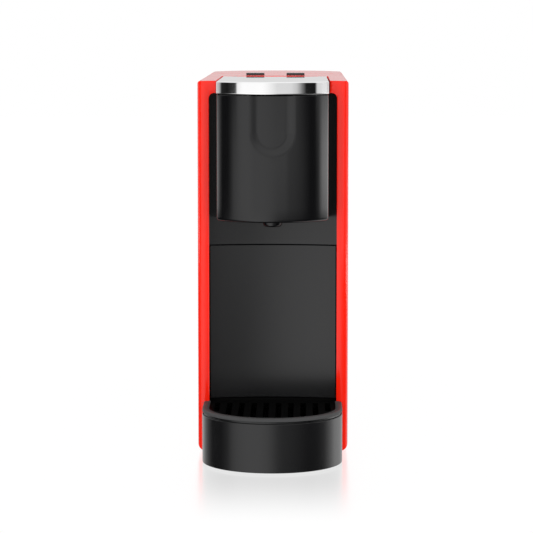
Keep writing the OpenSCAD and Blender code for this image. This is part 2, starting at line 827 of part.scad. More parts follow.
// Cup and spigot in the cradle's floor that the tank's collar drops into
module tank_spigot() {
    cup_low = collar_z - 3;
    color([0.85, 0.85, 0.85]) machine() difference() {
        union() {
            rod_z(0, dock_y, cup_low, cradle_floor, collar_r + 3);
            rod_z(0, dock_y, meter_z + 13, cup_low + 1, 3);
        }
        difference() {
            rod_z(0, dock_y, cup_low + 2, cradle_floor + 1, collar_r + 1);
            rod_z(0, dock_y, cup_low + 1, collar_z + 1.2, 2.5);
        }
        rod_z(0, dock_y, meter_z + 12, collar_z + 2, 1.5);
    }
}

// Rubber ring in the cup, round the tank's collar
module spigot_seal() {
    color([0.5, 0.12, 0.1]) machine() difference() {
        rod_z(0, dock_y, collar_z + 2, collar_z + 4.5, collar_r + 1);
        rod_z(0, dock_y, collar_z + 1, collar_z + 6, collar_r + run_fit);
    }
}

// ---- Rear and electrics ----

// Black panel in the casing's rear, round the mains socket, with a row of vents above it
module rear_panel() {
    half = rear_half - slide_gap;
    low = hatch_low + slide_gap;
    high = hatch_high - slide_gap;
    vent_half = 12;
    color([0.08, 0.08, 0.08]) machine() difference() {
        union() {
            block([-half, body_d - shell - 0.6, low], [half, rear_face, high]);
            block([-half, body_d - shell - 2.6, low - 1.5], [half, body_d - shell - 0.2, high + 2]);
        }
        block([-inlet_half - 0.2, body_d - 30, inlet_low - 0.2],
            [inlet_half + 0.2, body_d + 1, inlet_high + 0.2]);
        both_sides() for (z = rear_screw_zs()) rod_y(rear_screw_x(), body_d - 10, body_d + 1, z, clear_r);
        for (z = [46 : 2.2 : 55]) block([-vent_half, body_d - 6, z], [vent_half, body_d, z + 1.2]);
    }
}

module rear_screws() {
    color([0.6, 0.6, 0.62]) machine() both_sides() for (z = rear_screw_zs()) {
        translate([rear_screw_x(), rear_face, z]) rotate([90, 0, 0]) screw(screw_r, 16, 2.8, 0.7);
    }
}

// Mains socket of the machine: a recess with three flat pins
module power_inlet() {
    recess_y = body_d - 18;
    wall = 2;
    color([0.06, 0.06, 0.06]) machine() {
        difference() {
            union() {
                block([-inlet_half, recess_y - 6, inlet_low], [inlet_half, rear_face, inlet_high]);
                block([-inlet_half - 1.5, body_d - 6.5, inlet_low - 1.5],
                    [inlet_half + 1.5, body_d - 5.2, inlet_high + 1.5]);
            }
            block([-inlet_half + wall, recess_y, inlet_low + wall],
                [inlet_half - wall, body_d, inlet_high - wall]);
        }
        for (pin = [[-7, 28], [7, 28], [0, 33]]) {
            block([pin[0] - 1, recess_y - 1, pin[1] - 2], [pin[0] + 1, body_d - 4, pin[1] + 2]);
        }
    }
}

// Control board on the right wall: relay, capacitors, choke and terminal block on a green board
module control_board() {
    board_x = wall_x - 5;
    color([0.05, 0.3, 0.12]) machine() {
        block([board_x, 140, 180], [board_x + board_t, 190, 250]);
        block([board_x - 14, 146, 184], [board_x, 162, 202]);
        block([board_x - 10, 168, 186], [board_x, 186, 198]);
        rod_x(board_x - 16, board_x, 152, 214, 6);
        rod_x(board_x - 12, board_x, 170, 212, 4);
        block([board_x - 6, 146, 228], [board_x, 184, 240]);
        for (z = [183, 247]) rod_x(board_x + board_t, wall_x, 143, z, 2);
    }
}

// Board under the two buttons, on arms that rest on the chassis walls
module button_board() {
    board_half = 30;
    upper = key_board_z + board_t;
    color([0.05, 0.3, 0.12]) machine() {
        block([-board_half, key_y - 14, key_board_z], [board_half, key_y + 14, upper]);
        both_sides() block([board_half - 2, key_y - 5, upper], [wall_x, key_y + 5, upper + 3]);
    }
}

module key_switches() {
    base = key_board_z + board_t;
    color([0.1, 0.1, 0.1]) machine() both_sides() {
        block([key_x - 3, key_y - 3, base], [key_x + 3, key_y + 3, base + switch_h - 1]);
        rod_z(key_x, key_y, base + switch_h - 1, base + switch_h, 1.6);
    }
}

module key_spring(x) {
    base = key_board_z + board_t;
    color([0.75, 0.75, 0.77]) machine() translate([x, key_y, base])
        coil(5.2, 0.4, 5, inside_top - 5 - base);
}

module key_spring_left() {
    key_spring(-key_x);
}

module key_spring_right() {
    key_spring(key_x);
}

// Push button with a collar that keeps it under the casing's top, and a stem down to its switch
module key_cap(x) {
    skirt = 5;
    collar = 1.2;
    color([0.04, 0.04, 0.04]) machine() translate([x, key_y, 0]) {
        block([-key_w / 2, -key_d / 2, inside_top - skirt], [key_w / 2, key_d / 2, body_top + key_h]);
        block([-key_w / 2 - collar, -key_d / 2 - collar, inside_top - 2.2],
            [key_w / 2 + collar, key_d / 2 + collar, inside_top - 0.3]);
        rod_z(0, 0, key_board_z + board_t + switch_h + 1.6, inside_top - skirt + 1, 2);
    }
}

module button_left() {
    key_cap(-key_x);
}

module button_right() {
    key_cap(key_x);
}

// ---- Lever and brew unit ----

// Chromed cap: top plate, skirt and the moulded hinge barrel
module lever_cap() {
    color([0.85, 0.85, 0.87]) machine() difference() {
        union() {
            upright(lever_bottom, lever_top) head_plan(lever_half, head_r + 0.4, hinge_y);
            rod_x(-lever_half, lever_half, hinge_y, hinge_z, barrel_r);
        }
        difference() {
            upright(lever_bottom - 1, lever_top - lever_skin)
                head_plan(lever_half - lever_skin, head_r + 0.4 - lever_skin, hinge_y);
            rod_x(-lever_half, lever_half, hinge_y, hinge_z, barrel_r);
        }
        both_sides() block([lever_half - 2, hinge_y - 4, lever_bottom - 1],
            [lever_half + 1, hinge_y + 3, hinge_z - barrel_r + 0.2]);
        both_sides() block([cheek_in - slide_gap, hinge_y - 8, lever_bottom - 1],
            [cheek_in + cheek_t + slide_gap, hinge_y + 5, lever_top + 1]);
        rod_x(-body_half, body_half, hinge_y, hinge_z, pin_r + run_fit);
    }
}

// Black carrier under the cap, with ribs, screws' bores and the two lugs that pull the toggle links
module lever_frame() {
    top = lever_top - lever_skin;
    rib_low = lever_bottom + 0.6;
    lug_r = 5;
    lug_t = 3;
    color([0.06, 0.06, 0.06]) machine() difference() {
        union() {
            upright(top - carrier_t, top)
                head_plan(lever_half - lever_skin - 0.3, head_r - 1.4, hinge_y - 9);
            both_sides() {
                along_x(lug_x, lug_x + lug_t) {
                    translate([lug_y, lug_z]) circle(r = lug_r);
                    translate([lug_y - lug_r, lug_z]) square([2 * lug_r, top - 1 - lug_z]);
                }
                block([lug_x - 6, -20, rib_low], [lug_x - 4, hinge_y - 14, top - 1]);
            }
            for (y = [-10, 60]) block([-30, y, rib_low], [30, y + 2, top - 1]);
        }
        both_sides() for (y = lever_screw_ys()) {
            rod_z(lever_screw_x(), y, lever_bottom, top - 0.8, lever_screw_r);
        }
        both_sides() rod_x(lug_x - 1, lug_x + lug_t + 1, lug_y, lug_z, link_pin_r + 0.2);
    }
}

function lever_screw_ys() = [0, 50, 100];
function lever_screw_x() = 35;

module lever_screws() {
    color([0.6, 0.6, 0.62]) machine() both_sides() for (y = lever_screw_ys()) {
        translate([lever_screw_x(), y, lever_top - lever_skin - carrier_t])
            screw(lever_screw_r, carrier_t - 0.8, 2.2, 1.2);
    }
}

// Water piston: face with a shower recess, a seal groove and a bored tail
module brew_piston() {
    head_l = 20;
    color([0.2, 0.2, 0.2]) machine() difference() {
        union() {
            rod_y(0, piston_face, piston_face + head_l, brew_z, piston_r);
            rod_y(0, piston_face + head_l - 1, piston_face + tail_l, brew_z, 7);
        }
        difference() {
            rod_y(0, piston_face + 3, piston_face + 6, brew_z, piston_r + 1);
            rod_y(0, piston_face + 2, piston_face + 7, brew_z, piston_r - 2);
        }
        rod_y(0, piston_face - 1, piston_face + 1.5, brew_z, piston_r - 4);
        rod_y(0, piston_face, piston_face + 4.5, brew_z, 1.2);
        rod_y(0, piston_face + 4, piston_face + tail_l + 1, brew_z, feed_r + run_fit);
        rod_x(-piston_r - 1, piston_r + 1, axle_y, brew_z, axle_r);
    }
}

module piston_seal() {
    color([0.5, 0.12, 0.1]) machine() translate([0, piston_face + 4.5, brew_z]) rotate([90, 0, 0])
        rotate_extrude() translate([piston_r - 0.6, 0]) circle(r = 1.4, $fn = 24);
}

// Cross axle in two halves, so that the water can pass between them
module toggle_axle() {
    color([0.75, 0.75, 0.77]) machine() both_sides() {
        rod_x(feed_r + 2, cheek_in + cheek_t - 0.5, axle_y, brew_z, axle_r);
    }
}

// Pair of steel links from the piston's axle up to the lever's lugs
module toggle_links() {
    eye_r = 4.5;
    far = link_x + link_t;
    color([0.7, 0.7, 0.72]) machine() both_sides() difference() {
        translate([0, axle_y, brew_z]) rotate([link_tilt, 0, 0]) union() {
            rod_x(link_x, far, 0, 0, eye_r);
            rod_x(link_x, far, link_l, 0, eye_r - 0.5);
            block([link_x, 0, -3], [far, link_l, 3]);
        }
        rod_x(link_x - 1, far + 1, axle_y, brew_z, axle_r + run_fit);
        rod_x(link_x - 1, far + 1, lug_y, lug_z, link_pin_r);
    }
}

// Headed pins at the links' upper ends
module link_pins() {
    head_t = 1.2;
    color([0.75, 0.75, 0.77]) machine() both_sides() {
        rod_x(link_x - head_t, link_x + link_t + 0.2, lug_y, lug_z, link_pin_r);
        rod_x(link_x - head_t, link_x, lug_y, lug_z, link_pin_r + 1.2);
    }
}

// ---- Capsule bin and drip tray ----

module capsule_bin() {
    front = panel_deep + panel_t + 0.5;
    inner = bin_half - bin_wall;
    color([0.1, 0.1, 0.1]) machine() difference() {
        block([-bin_half, front, bin_bottom], [bin_half, front + bin_d, seam_z - 7]);
        block([-inner, front + bin_wall, bin_bottom + bin_wall], [inner, front + bin_d - bin_wall, seam_z]);
    }
}

// Lower part of the hollow front, which pulls out with the bin on two ribs
module bin_front() {
    color([0.15, 0.15, 0.15]) machine() {
        upright(bin_bottom, seam_z - seam_gap / 2) panel_arc(opening_half - seam_gap);
        both_sides() block([30, panel_deep - 1, bin_bottom + 20],
            [34, panel_deep + panel_t + 0.5, seam_z - 12]);
    }
}

// The tray's outline from above: straight sides and a half-round front, drawn in by an inset
module tray_plan(inset) {
    corner = 4;
    rear = -slide_gap - inset;
    difference() {
        union() {
            translate([0, -tray_side]) circle(r = tray_r - inset, $fn = 180);
            translate([-tray_r + inset, -tray_side]) square([2 * (tray_r - inset), tray_side + rear]);
        }
        translate([-tray_r - 1, rear]) square([2 * tray_r + 2, tray_r]);
        both_sides() translate([tray_r - inset - corner, rear - corner]) difference() {
            square([corner + 1, corner + 1]);
            circle(r = corner);
        }
    }
}

module tray_bowl() {
    color([0.06, 0.06, 0.06]) machine() difference() {
        union() {
            upright(tray_bottom, bowl_top) tray_plan(0);
            upright(bowl_top - 1, tray_top - rim_t) tray_plan(groove);
            block([-tongue_half, -10, base_top + slide_gap], [tongue_half, tongue_d, tongue_top]);
        }
        upright(tray_bottom + tray_wall, tray_top) tray_plan(groove + tray_wall);
        block([-tongue_half + tray_wall, -12, base_top + slide_gap + tray_wall],
            [tongue_half - tray_wall, tongue_d - tray_wall, tongue_top + 1]);
    }
}

module tray_rim() {
    color([0.12, 0.12, 0.12]) machine() difference() {
        upright(tray_top - rim_t, tray_top) tray_plan(0);
        upright(tray_top - rim_t - 1, tray_top + 1) tray_plan(rim_w);
        rim_gap(tray_top - rim_t - 1, tray_top + 1, 1);
    }
}

// The space between the rim's two arms behind its ring, where the grille reaches the front panel
module rim_gap(z0, z1, rear) {
    block([-tray_r + rim_w, -slide_gap - rim_w - 6, z0], [tray_r - rim_w, rear, z1]);
}

// Grille that the cup stands on, a little below the rim, with slots that follow the round front
module cup_grille() {
    margin = 4;
    slot_rear = -10;
    color([0.03, 0.03, 0.03]) machine() difference() {
        union() {
            upright(tray_top - rim_t, tray_top - 0.5) tray_plan(rim_w);
            rim_gap(tray_top - rim_t, tray_top - 0.5, -slide_gap);
        }
        for (i = [0 : slot_count - 1]) {
            x = (i - (slot_count - 1) / 2) * slot_pitch;
            slot_front = -tray_side - sqrt(pow(tray_r - rim_w - margin, 2) - x * x);
            translate([x, 0, tray_top - rim_t - 1]) {
                block([-slot_w / 2, slot_front, 0], [slot_w / 2, slot_rear, rim_t + 2]);
                for (y = [slot_front, slot_rear]) {
                    translate([0, y, 0]) cylinder(h = rim_t + 2, r = slot_w / 2, $fn = 32);
                }
            }
        }
    }
}

// ---- Water tank ----

// Clear tank, open at the top, with a collar below and two ears for the lid
module water_tank() {
    tank_front = bay_y + slide_gap + 0.2;
    color([0.55, 0.6, 0.62, 0.5]) machine() difference() {
        union() {
            upright(tank_floor, tank_top) bay_plan(tank_inset, tank_front);
            rod_z(0, dock_y, collar_z, tank_floor + 1, collar_r);
            both_sides() {
                block([ear_x, lid_axis_y - ear_r, tank_top - 14],
                    [ear_x + ear_t, lid_axis_y + ear_r, lid_axis_z]);
                rod_x(ear_x, ear_x + ear_t, lid_axis_y, lid_axis_z, ear_r);
            }
        }
        upright(tank_floor + tank_wall, tank_top + 1)
            bay_plan(tank_inset + tank_wall, tank_front + tank_wall);
        rod_z(0, dock_y, collar_z + 1.5, tank_floor - 1, collar_r - 2.5);
        rod_z(0, dock_y, collar_z - 1, collar_z + 2, 3.6);
        rod_z(0, dock_y, tank_floor - 2, tank_floor + 5, 1.8);
        for (a = [0 : 60 : 300]) {
            rod_z(5 * cos(a), dock_y + 5 * sin(a), tank_floor - 2, tank_floor + 5, 1.5);
        }
        rod_x(-body_half, body_half, lid_axis_y, lid_axis_z, lid_pin_r);
    }
}

// Outlet valve: a disc on a stem that the dock's spigot lifts
module tank_valve() {
    color([0.85, 0.85, 0.82]) machine() {
        rod_z(0, dock_y, collar_z + 1.5, collar_z + 3, 6);
        rod_z(0, dock_y, collar_z + 3, tank_floor + 4, 1.5);
    }
}

module tank_valve_spring() {
    color([0.75, 0.75, 0.77]) machine() translate([0, dock_y, collar_z + 3])
        coil(3, 0.35, 4, tank_floor - 1 - collar_z - 3);
}

module lid_pins() {
    color([0.75, 0.75, 0.77]) machine() both_sides() {
        rod_x(ear_x - 5, ear_x + ear_t, lid_axis_y, lid_axis_z, lid_pin_r);
    }
}

// Red lid over the full width of the tank bay, flush with the casing's crowned top. Its front edge is
// round about the hinge, so that it clears the casing as it opens.
module tank_lid() {
    nose_half = inside_half - slide_gap;
    slot_low = ear_x - 0.3;
    slot_high = ear_x + ear_t + 0.3;
    color([0.86, 0.08, 0.05]) machine() difference() {
        union() {
            intersection() {
                casing_form(0);
                union() {
                    block([-body_half, lid_axis_y, lid_low], [body_half, body_d, body_top + 2]);
                    intersection() {
                        rod_x(-nose_half, nose_half, lid_axis_y, lid_axis_z, nose_r);
                        block([-body_half, lid_front, lid_low], [body_half, lid_axis_y + 1, body_top + 2]);
                    }
                }
            }
            rod_x(-slot_low, slot_low, lid_axis_y, lid_axis_z, lid_barrel_r);
        }
        both_sides() {
            block([slot_low, lid_front - 1, lid_low - 1], [slot_high, lid_axis_y, body_top + 2]);
            block([slot_low, lid_axis_y - 1, lid_low - 1],
                [slot_high, lid_axis_y + 2.2, lid_axis_z + ear_r + 0.2]);
        }
        rod_x(-ear_x, ear_x, lid_axis_y, lid_axis_z, lid_pin_r + run_fit);
    }
}

outer_casing();
base_plate();
rubber_feet();
base_screws();
chassis();
brew_frame();
frame_screws();
chute_deck();
front_panel();
head_cover();
outlet_plate();
outlet_duct();
spout();
lever_pin();
feed_tube();
thermoblock();
heating_rod();
thermostat();
pump();
pump_mounts();
flow_meter();
suction_hose();
pump_hose();
pressure_tube();
tank_cradle();
tank_spigot();
spigot_seal();
rear_panel();
rear_screws();
power_inlet();
control_board();
button_board();
key_switches();
key_spring_left();
key_spring_right();
lever_cap();
lever_frame();
lever_screws();
brew_piston();
piston_seal();
toggle_axle();
toggle_links();
link_pins();
capsule_bin();
bin_front();
tray_bowl();
tray_rim();
cup_grille();
water_tank();
tank_valve();
tank_valve_spring();
lid_pins();
tank_lid();
button_left();
button_right();
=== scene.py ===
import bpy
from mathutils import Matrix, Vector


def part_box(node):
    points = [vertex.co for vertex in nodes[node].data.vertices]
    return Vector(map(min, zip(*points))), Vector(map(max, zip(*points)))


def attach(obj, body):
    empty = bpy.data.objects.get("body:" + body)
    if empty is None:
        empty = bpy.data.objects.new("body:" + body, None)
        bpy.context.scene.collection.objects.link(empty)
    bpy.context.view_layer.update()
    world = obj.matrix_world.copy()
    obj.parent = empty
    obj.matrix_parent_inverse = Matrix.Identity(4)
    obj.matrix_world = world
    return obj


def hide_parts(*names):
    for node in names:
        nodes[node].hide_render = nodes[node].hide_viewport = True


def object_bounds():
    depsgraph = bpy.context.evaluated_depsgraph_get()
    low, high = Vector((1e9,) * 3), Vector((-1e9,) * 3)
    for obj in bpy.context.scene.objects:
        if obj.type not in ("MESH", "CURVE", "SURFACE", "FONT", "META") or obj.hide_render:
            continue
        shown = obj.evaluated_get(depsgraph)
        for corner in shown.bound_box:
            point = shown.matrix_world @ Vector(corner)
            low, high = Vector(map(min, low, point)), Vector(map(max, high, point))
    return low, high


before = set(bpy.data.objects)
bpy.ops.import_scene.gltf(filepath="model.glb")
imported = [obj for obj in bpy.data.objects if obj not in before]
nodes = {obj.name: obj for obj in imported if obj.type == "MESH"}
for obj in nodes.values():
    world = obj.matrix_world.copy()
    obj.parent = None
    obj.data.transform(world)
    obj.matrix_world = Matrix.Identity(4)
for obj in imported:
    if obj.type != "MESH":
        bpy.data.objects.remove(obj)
cad_box = [list(corner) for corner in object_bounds()]

import math

import bmesh
import bpy
from mathutils import Matrix, Vector

MM = 0.001
scene = bpy.context.scene
scene.view_settings.view_transform = "Standard"

# ---------------------------------------------------------------------------------------------
# Camera: a long lens a little above the machine and to its right, looking slightly down, so that
# the top shows as a thin band and the upright edges stay nearly parallel.
CAMERA_LENS = 161.4
CAMERA_AWAY = 1.7667
CAMERA_RIGHT = 0.02135
CAMERA_HEIGHT = 0.3254
CAMERA_TURN = math.radians(0.846)
CAMERA_DIP = math.radians(5.936)

casing_low, casing_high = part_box("outer_casing")
front = casing_low.y
camera_data = bpy.data.cameras.new("camera")
camera_data.lens = CAMERA_LENS
camera_data.clip_end = 50
camera = bpy.data.objects.new("camera", camera_data)
camera.matrix_world = (Matrix.Translation((CAMERA_RIGHT, front - CAMERA_AWAY, CAMERA_HEIGHT))
                       @ Matrix.Rotation(CAMERA_TURN, 4, "Z")
                       @ Matrix.Rotation(math.pi / 2 - CAMERA_DIP, 4, "X"))
scene.collection.objects.link(camera)
scene.camera = camera

# ---------------------------------------------------------------------------------------------
# Studio: a white tent round the machine in three tiers, with soft boxes and dark flags that draw
# the bright and black bands in its gloss. A tier reaches up from an angle above the horizon, and
# each of its stops is a direction, in degrees to the right of straight ahead, with its brightness.
TENT_TIERS = [
    (-4.95, 0.1, [(-180, 0.6), (-155, 0.75), (-132, 0.33), (-115, 0.0), (-92, 0.0), (-78, 0.22),
                  (-68, 0.73), (-58, 1.0), (-40, 1.18), (-20, 1.18), (-7, 1.0), (2, 0.68),
                  (10, 0.36), (18, 0.24), (35, 0.16), (53, 0.04), (62, 0.0), (80, 0.02),
                  (95, 0.17), (108, 0.8), (124, 1.4), (147, 0.8), (180, 0.6)]),
    (-2.04, 0.04, [(-180, 0.72), (-115, 1.4), (-104, 2.6), (-99, 0.7), (-93, 0.02), (-79, 0.02),
                   (-73, 0.3), (-67, 0.85), (-52, 1.2), (-40, 1.22), (-30, 1.07), (20, 1.07),
                   (28, 0.68), (36, 0.62), (50, 0.43), (58, 0.2), (65, 0.03), (75, 0.02),
                   (82, 0.4), (90, 3.0), (125, 3.6), (150, 1.2),
                   (180, 0.72)]),
    (90.0, 0.1, [(-180, 0.72), (-108, 0.72), (-104, 0.6), (-98, 0.42), (-93, 0.02), (-80, 0.01),
                 (-66, 0.03), (-62.5, 0.12), (-60, 0.9), (-50, 1.05), (-16, 1.05), (-8, 0.96),
                 (0, 0.85), (7, 0.74), (30, 0.74), (40, 0.58), (49, 0.2), (56, 0.01), (74, 0.01),
                 (78, 0.7), (98, 0.8), (104, 0.5), (112, 0.72), (180, 0.72)]),
]
TENT_ROOF = 1.0
TENT_FILL = 0.8
FRONT_FILL = 1.1


def add_node(tree, kind, **inputs):
    """A shader node of that kind with some inputs set to values or linked to sockets."""
    node = tree.nodes.new("ShaderNode" + kind)
    for name, value in inputs.items():
        socket = node.inputs[name.replace("_", " ")]
        if isinstance(value, bpy.types.NodeSocket):
            tree.links.new(value, socket)
        else:
            socket.default_value = value
    return node


def add_math(tree, operation, *values):
    """A Math node's result, fed with sockets or numbers."""
    node = tree.nodes.new("ShaderNodeMath")
    node.operation = operation
    for place, value in enumerate(values):
        if isinstance(value, bpy.types.NodeSocket):
            tree.links.new(value, node.inputs[place])
        else:
            node.inputs[place].default_value = value
    return node.outputs[0]


def ramp_by(tree, factor, stops):
    """A Color Ramp through (position, colour) stops, with grey given as one number."""
    ramp = tree.nodes.new("ShaderNodeValToRGB")
    elements = ramp.color_ramp.elements
    while len(elements) < len(stops):
        elements.new(0.5)
    for element, (position, colour) in zip(elements, stops):
        element.position = position
        element.color = [colour] * 3 + [1] if isinstance(colour, (int, float)) else list(colour) + [1]
    tree.links.new(factor, ramp.inputs["Fac"])
    return ramp.outputs["Color"]


def light_tent():
    """The world: the tent where it is mirrored, an even soft fill on everything else."""
    world = bpy.data.worlds.new("light_tent")
    world.use_nodes = True
    tree = world.node_tree
    tree.nodes.clear()
    direction = add_node(tree, "TexCoord").outputs["Generated"]
    parts = add_node(tree, "SeparateXYZ", Vector=direction)
    ahead = add_math(tree, "MULTIPLY", parts.outputs["Y"], -1.0)
    angle = add_math(tree, "ARCTAN2", parts.outputs["X"], ahead)
    turn = add_math(tree, "MULTIPLY_ADD", angle, 1 / (2 * math.pi), 0.5)
    brightest = max(level for _, _, stops in TENT_TIERS for _, level in stops)
    walls = None
    lower = upper = 0.0
    for top, blend, stops in TENT_TIERS:
        tier = ramp_by(tree, turn, [(degrees / 360 + 0.5, level / brightest)
                                    for degrees, level in stops])
        if walls:
            above = add_node(tree, "MapRange", Value=parts.outputs["Z"], From_Min=lower, From_Max=upper)
            tier = add_node(tree, "MixRGB", Fac=above.outputs[0], Color1=walls, Color2=tier).outputs[0]
        walls = tier
        lower, upper = (math.sin(math.radians(min(top + side * blend, 90))) for side in (-1, 1))
    steep = add_math(tree, "MULTIPLY_ADD", parts.outputs["Z"], 2.0, -0.5)
    steep.node.use_clamp = True
    tent = add_node(tree, "MixRGB", Fac=steep, Color1=walls,
                    Color2=(TENT_ROOF / brightest,) * 3 + (1,))
    mirrored = add_node(tree, "Background", Color=tent.outputs[0], Strength=brightest)
    facing = add_math(tree, "MAXIMUM", ahead, 0.0)
    fill = add_math(tree, "MULTIPLY_ADD", add_math(tree, "MULTIPLY", facing, facing), FRONT_FILL,
                    TENT_FILL)
    even = add_node(tree, "Background", Color=(1, 1, 1, 1), Strength=fill)
    seen = add_node(tree, "Background", Color=(1, 1, 1, 1), Strength=1.0)
    path = add_node(tree, "LightPath")
    lit = add_node(tree, "MixShader", Fac=path.outputs["Is Glossy Ray"])
    tree.links.new(even.outputs[0], lit.inputs[1])
    tree.links.new(mirrored.outputs[0], lit.inputs[2])
    shown = add_node(tree, "MixShader", Fac=path.outputs["Is Camera Ray"])
    tree.links.new(lit.outputs[0], shown.inputs[1])
    tree.links.new(seen.outputs[0], shown.inputs[2])
    tree.links.new(shown.outputs[0], add_node(tree, "OutputWorld").inputs["Surface"])
    return world


scene.world = light_tent()

# ---------------------------------------------------------------------------------------------
# Floor: a sheet of white acrylic, lit from below, that mirrors the machine faintly. The mirror image
# fades with the distance from the machine's outline, and the floor's glow is dimmed there by the same
# share, which paints a soft shade round the machine's foot. Gloss parts mirror the tent and not the
# floor.
FLOOR_REACH = 6.0
FLOOR_MIRROR = 0.42
FLOOR_FADE = 0.17
# how much of the glow is taken away where the mirror is strongest: painted shade near the machine
FLOOR_PAINTED_SHADE = 0.72


def lit_floor():
    mesh = bpy.data.meshes.new("floor")
    corners = [(-1, -1), (1, -1), (1, 1), (-1, 1)]
    mesh.from_pydata([(x * FLOOR_REACH, y * FLOOR_REACH, 0) for x, y in corners], [], [(0, 1, 2, 3)])
    floor = bpy.data.objects.new("floor", mesh)
    scene.collection.objects.link(floor)
    acrylic = bpy.data.materials.new("white_acrylic")
    acrylic.use_nodes = True
    tree = acrylic.node_tree
    tree.nodes.clear()
    place = add_node(tree, "TexCoord").outputs["Object"]
    parts = add_node(tree, "SeparateXYZ", Vector=place)
    outline = cad_box[1]
    outside = []
    for axis, reach in (("X", outline[0]), ("Y", outline[1])):
        beyond = add_math(tree, "SUBTRACT", add_math(tree, "ABSOLUTE", parts.outputs[axis]), reach)
        outside.append(add_math(tree, "MAXIMUM", beyond, 0.0))
    squares = [add_math(tree, "MULTIPLY", gap, gap) for gap in outside]
    away = add_math(tree, "SQRT", add_math(tree, "ADD", *squares))
    fade = add_node(tree, "MapRange", Value=away, From_Max=FLOOR_FADE, To_Min=FLOOR_MIRROR, To_Max=0.0)
    fade.interpolation_type = "SMOOTHSTEP"
    share = fade.outputs[0]
    # painted shade: the glow is dimmed near the machine's outline, in step with the mirror image
    painted_shade = add_math(tree, "MULTIPLY", share, FLOOR_PAINTED_SHADE)
    lit = add_math(tree, "SUBTRACT", 1.005, painted_shade)
    haze = add_node(tree, "TexNoise", Vector=place, Scale=6.0).outputs[0]
    blur = add_node(tree, "MapRange", Value=haze, To_Min=0.2, To_Max=0.24).outputs[0]
    glow = add_node(tree, "Emission", Color=(1, 1, 1, 1), Strength=lit)
    gloss = add_node(tree, "BsdfAnisotropic", Color=share, Roughness=blur)
    both = tree.nodes.new("ShaderNodeAddShader")
    tree.links.new(glow.outputs[0], both.inputs[0])
    tree.links.new(gloss.outputs[0], both.inputs[1])
    tree.links.new(both.outputs[0], add_node(tree, "OutputMaterial").inputs["Surface"])
    mesh.materials.append(acrylic)
    floor.visible_glossy = False


lit_floor()

# ---------------------------------------------------------------------------------------------
# Casing: one red ABS moulding that wraps the top, sides and back and frames the front opening.
# It is moulded in a polished tool, so it is glossy with the faintest ripple, and every edge is
# eased. It is screwed to the base plate from below.
CASING_RED = (0.95, 0.014, 0.003)
CASING_EASE = 0.6
BROAD_FACE = 3000 * MM * MM


def moulded_plastic(name, colour, roughness, drift=0.05, grain=0.0, grain_size=0.5, ripple=0.0,
                    ior=1.5):
    """Moulded plastic: the colour drifts slightly, the gloss is uneven, and the face carries a
    fine spark-eroded grain or a long moulding ripple of that depth in millimetres."""
    material = bpy.data.materials.new(name)
    material.use_nodes = True
    tree = material.node_tree
    shader = tree.nodes["Principled BSDF"]
    place = add_node(tree, "TexCoord").outputs["Object"]
    cloud = add_node(tree, "TexNoise", Vector=place, Scale=26.0, Detail=4.0).outputs[0]
    tint = ramp_by(tree, cloud, [(0.3, [c * (1 - drift) for c in colour]),
                                 (0.7, [min(c * (1 + drift), 1) for c in colour])])
    tree.links.new(tint, shader.inputs["Base Color"])
    haze = add_node(tree, "MapRange", Value=cloud, To_Min=roughness * 0.8, To_Max=roughness * 1.2)
    tree.links.new(haze.outputs[0], shader.inputs["Roughness"])
    shader.inputs["IOR"].default_value = ior
    normal = None
    for depth, size, detail in ((grain, grain_size, 3.0), (ripple, 14.0, 0.0)):
        if not depth:
            continue
        pits = add_node(tree, "TexNoise", Vector=place, Scale=1 / (size * MM), Detail=detail)
        bump = add_node(tree, "Bump", Height=pits.outputs[0], Strength=1.0, Distance=depth * MM)
        if normal:
            tree.links.new(normal, bump.inputs["Normal"])
        normal = bump.outputs["Normal"]
    if normal:
        tree.links.new(normal, shader.inputs["Normal"])
    return material


def add_piece(name, mesh, material, body, slot, *stands_for):
    """Puts a finished mesh in the scene as a piece that rides on a body and stands for CAD nodes."""
    piece = bpy.data.objects.new(name, mesh)
    scene.collection.objects.link(piece)
    mesh.materials.clear()
    mesh.materials.append(material)
    if not mesh.has_custom_normals:
        for face in mesh.polygons:
            face.use_smooth = True
    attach(piece, body)
    if stands_for:
        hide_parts(*stands_for)
    return piece


def ease_edges(piece, radius, degrees=38, steps=3):
    """Rounds every edge sharper than that angle, and keeps the flat faces flat."""
    ease = piece.modifiers.new("eased_edges", "BEVEL")
    ease.width = radius * MM
    ease.segments = steps
    ease.limit_method = "ANGLE"
    ease.angle_limit = math.radians(degrees)
    ease.harden_normals = True
    ease.miter_outer = "MITER_ARC"


def settle(mesh, arcs=(), ease=0.0, degrees=38, steps=3):
    """Eases a mesh's sharp edges, and gives the facets that lie on an arc the arc's own normals, so
    that they shade as one smooth sheet. An arc is the two axes it curves in, its centre and its
    radius in metres."""
    work = bpy.data.objects.new("work", mesh)
    scene.collection.objects.link(work)
    for face in mesh.polygons:
        face.use_smooth = True
    if ease:
        ease_edges(work, ease, degrees, steps)
    evaluated = work.evaluated_get(bpy.context.evaluated_depsgraph_get())
    result = bpy.data.meshes.new_from_object(evaluated)
    result.name = mesh.name
    bpy.data.objects.remove(work)
    normals = [corner.vector.copy() for corner in result.corner_normals]
    broad = {}
    for face in result.polygons:
        if face.area > BROAD_FACE:
            for vertex in face.vertices:
                broad.setdefault(vertex, []).append(face.normal.copy())
    for face in result.polygons:
        for loop in face.loop_indices:
            for flat in broad.get(result.loops[loop].vertex_index, ()):
                if flat.dot(face.normal) > 0.97:
                    normals[loop] = flat
        for first, second, centre, radius in arcs:
            for loop in face.loop_indices:
                place = result.vertices[result.loops[loop].vertex_index].co
                arm = Vector((0, 0, 0))
                arm[first] = place[first] - centre[0]
                arm[second] = place[second] - centre[1]
                if abs(arm.length - radius) > 0.03 * MM:
                    continue
                arm.normalize()
                if abs(arm.dot(face.normal)) > 0.99:
                    normals[loop] = arm if arm.dot(face.normal) > 0 else -arm
    result.normals_split_custom_set(normals)
    return result


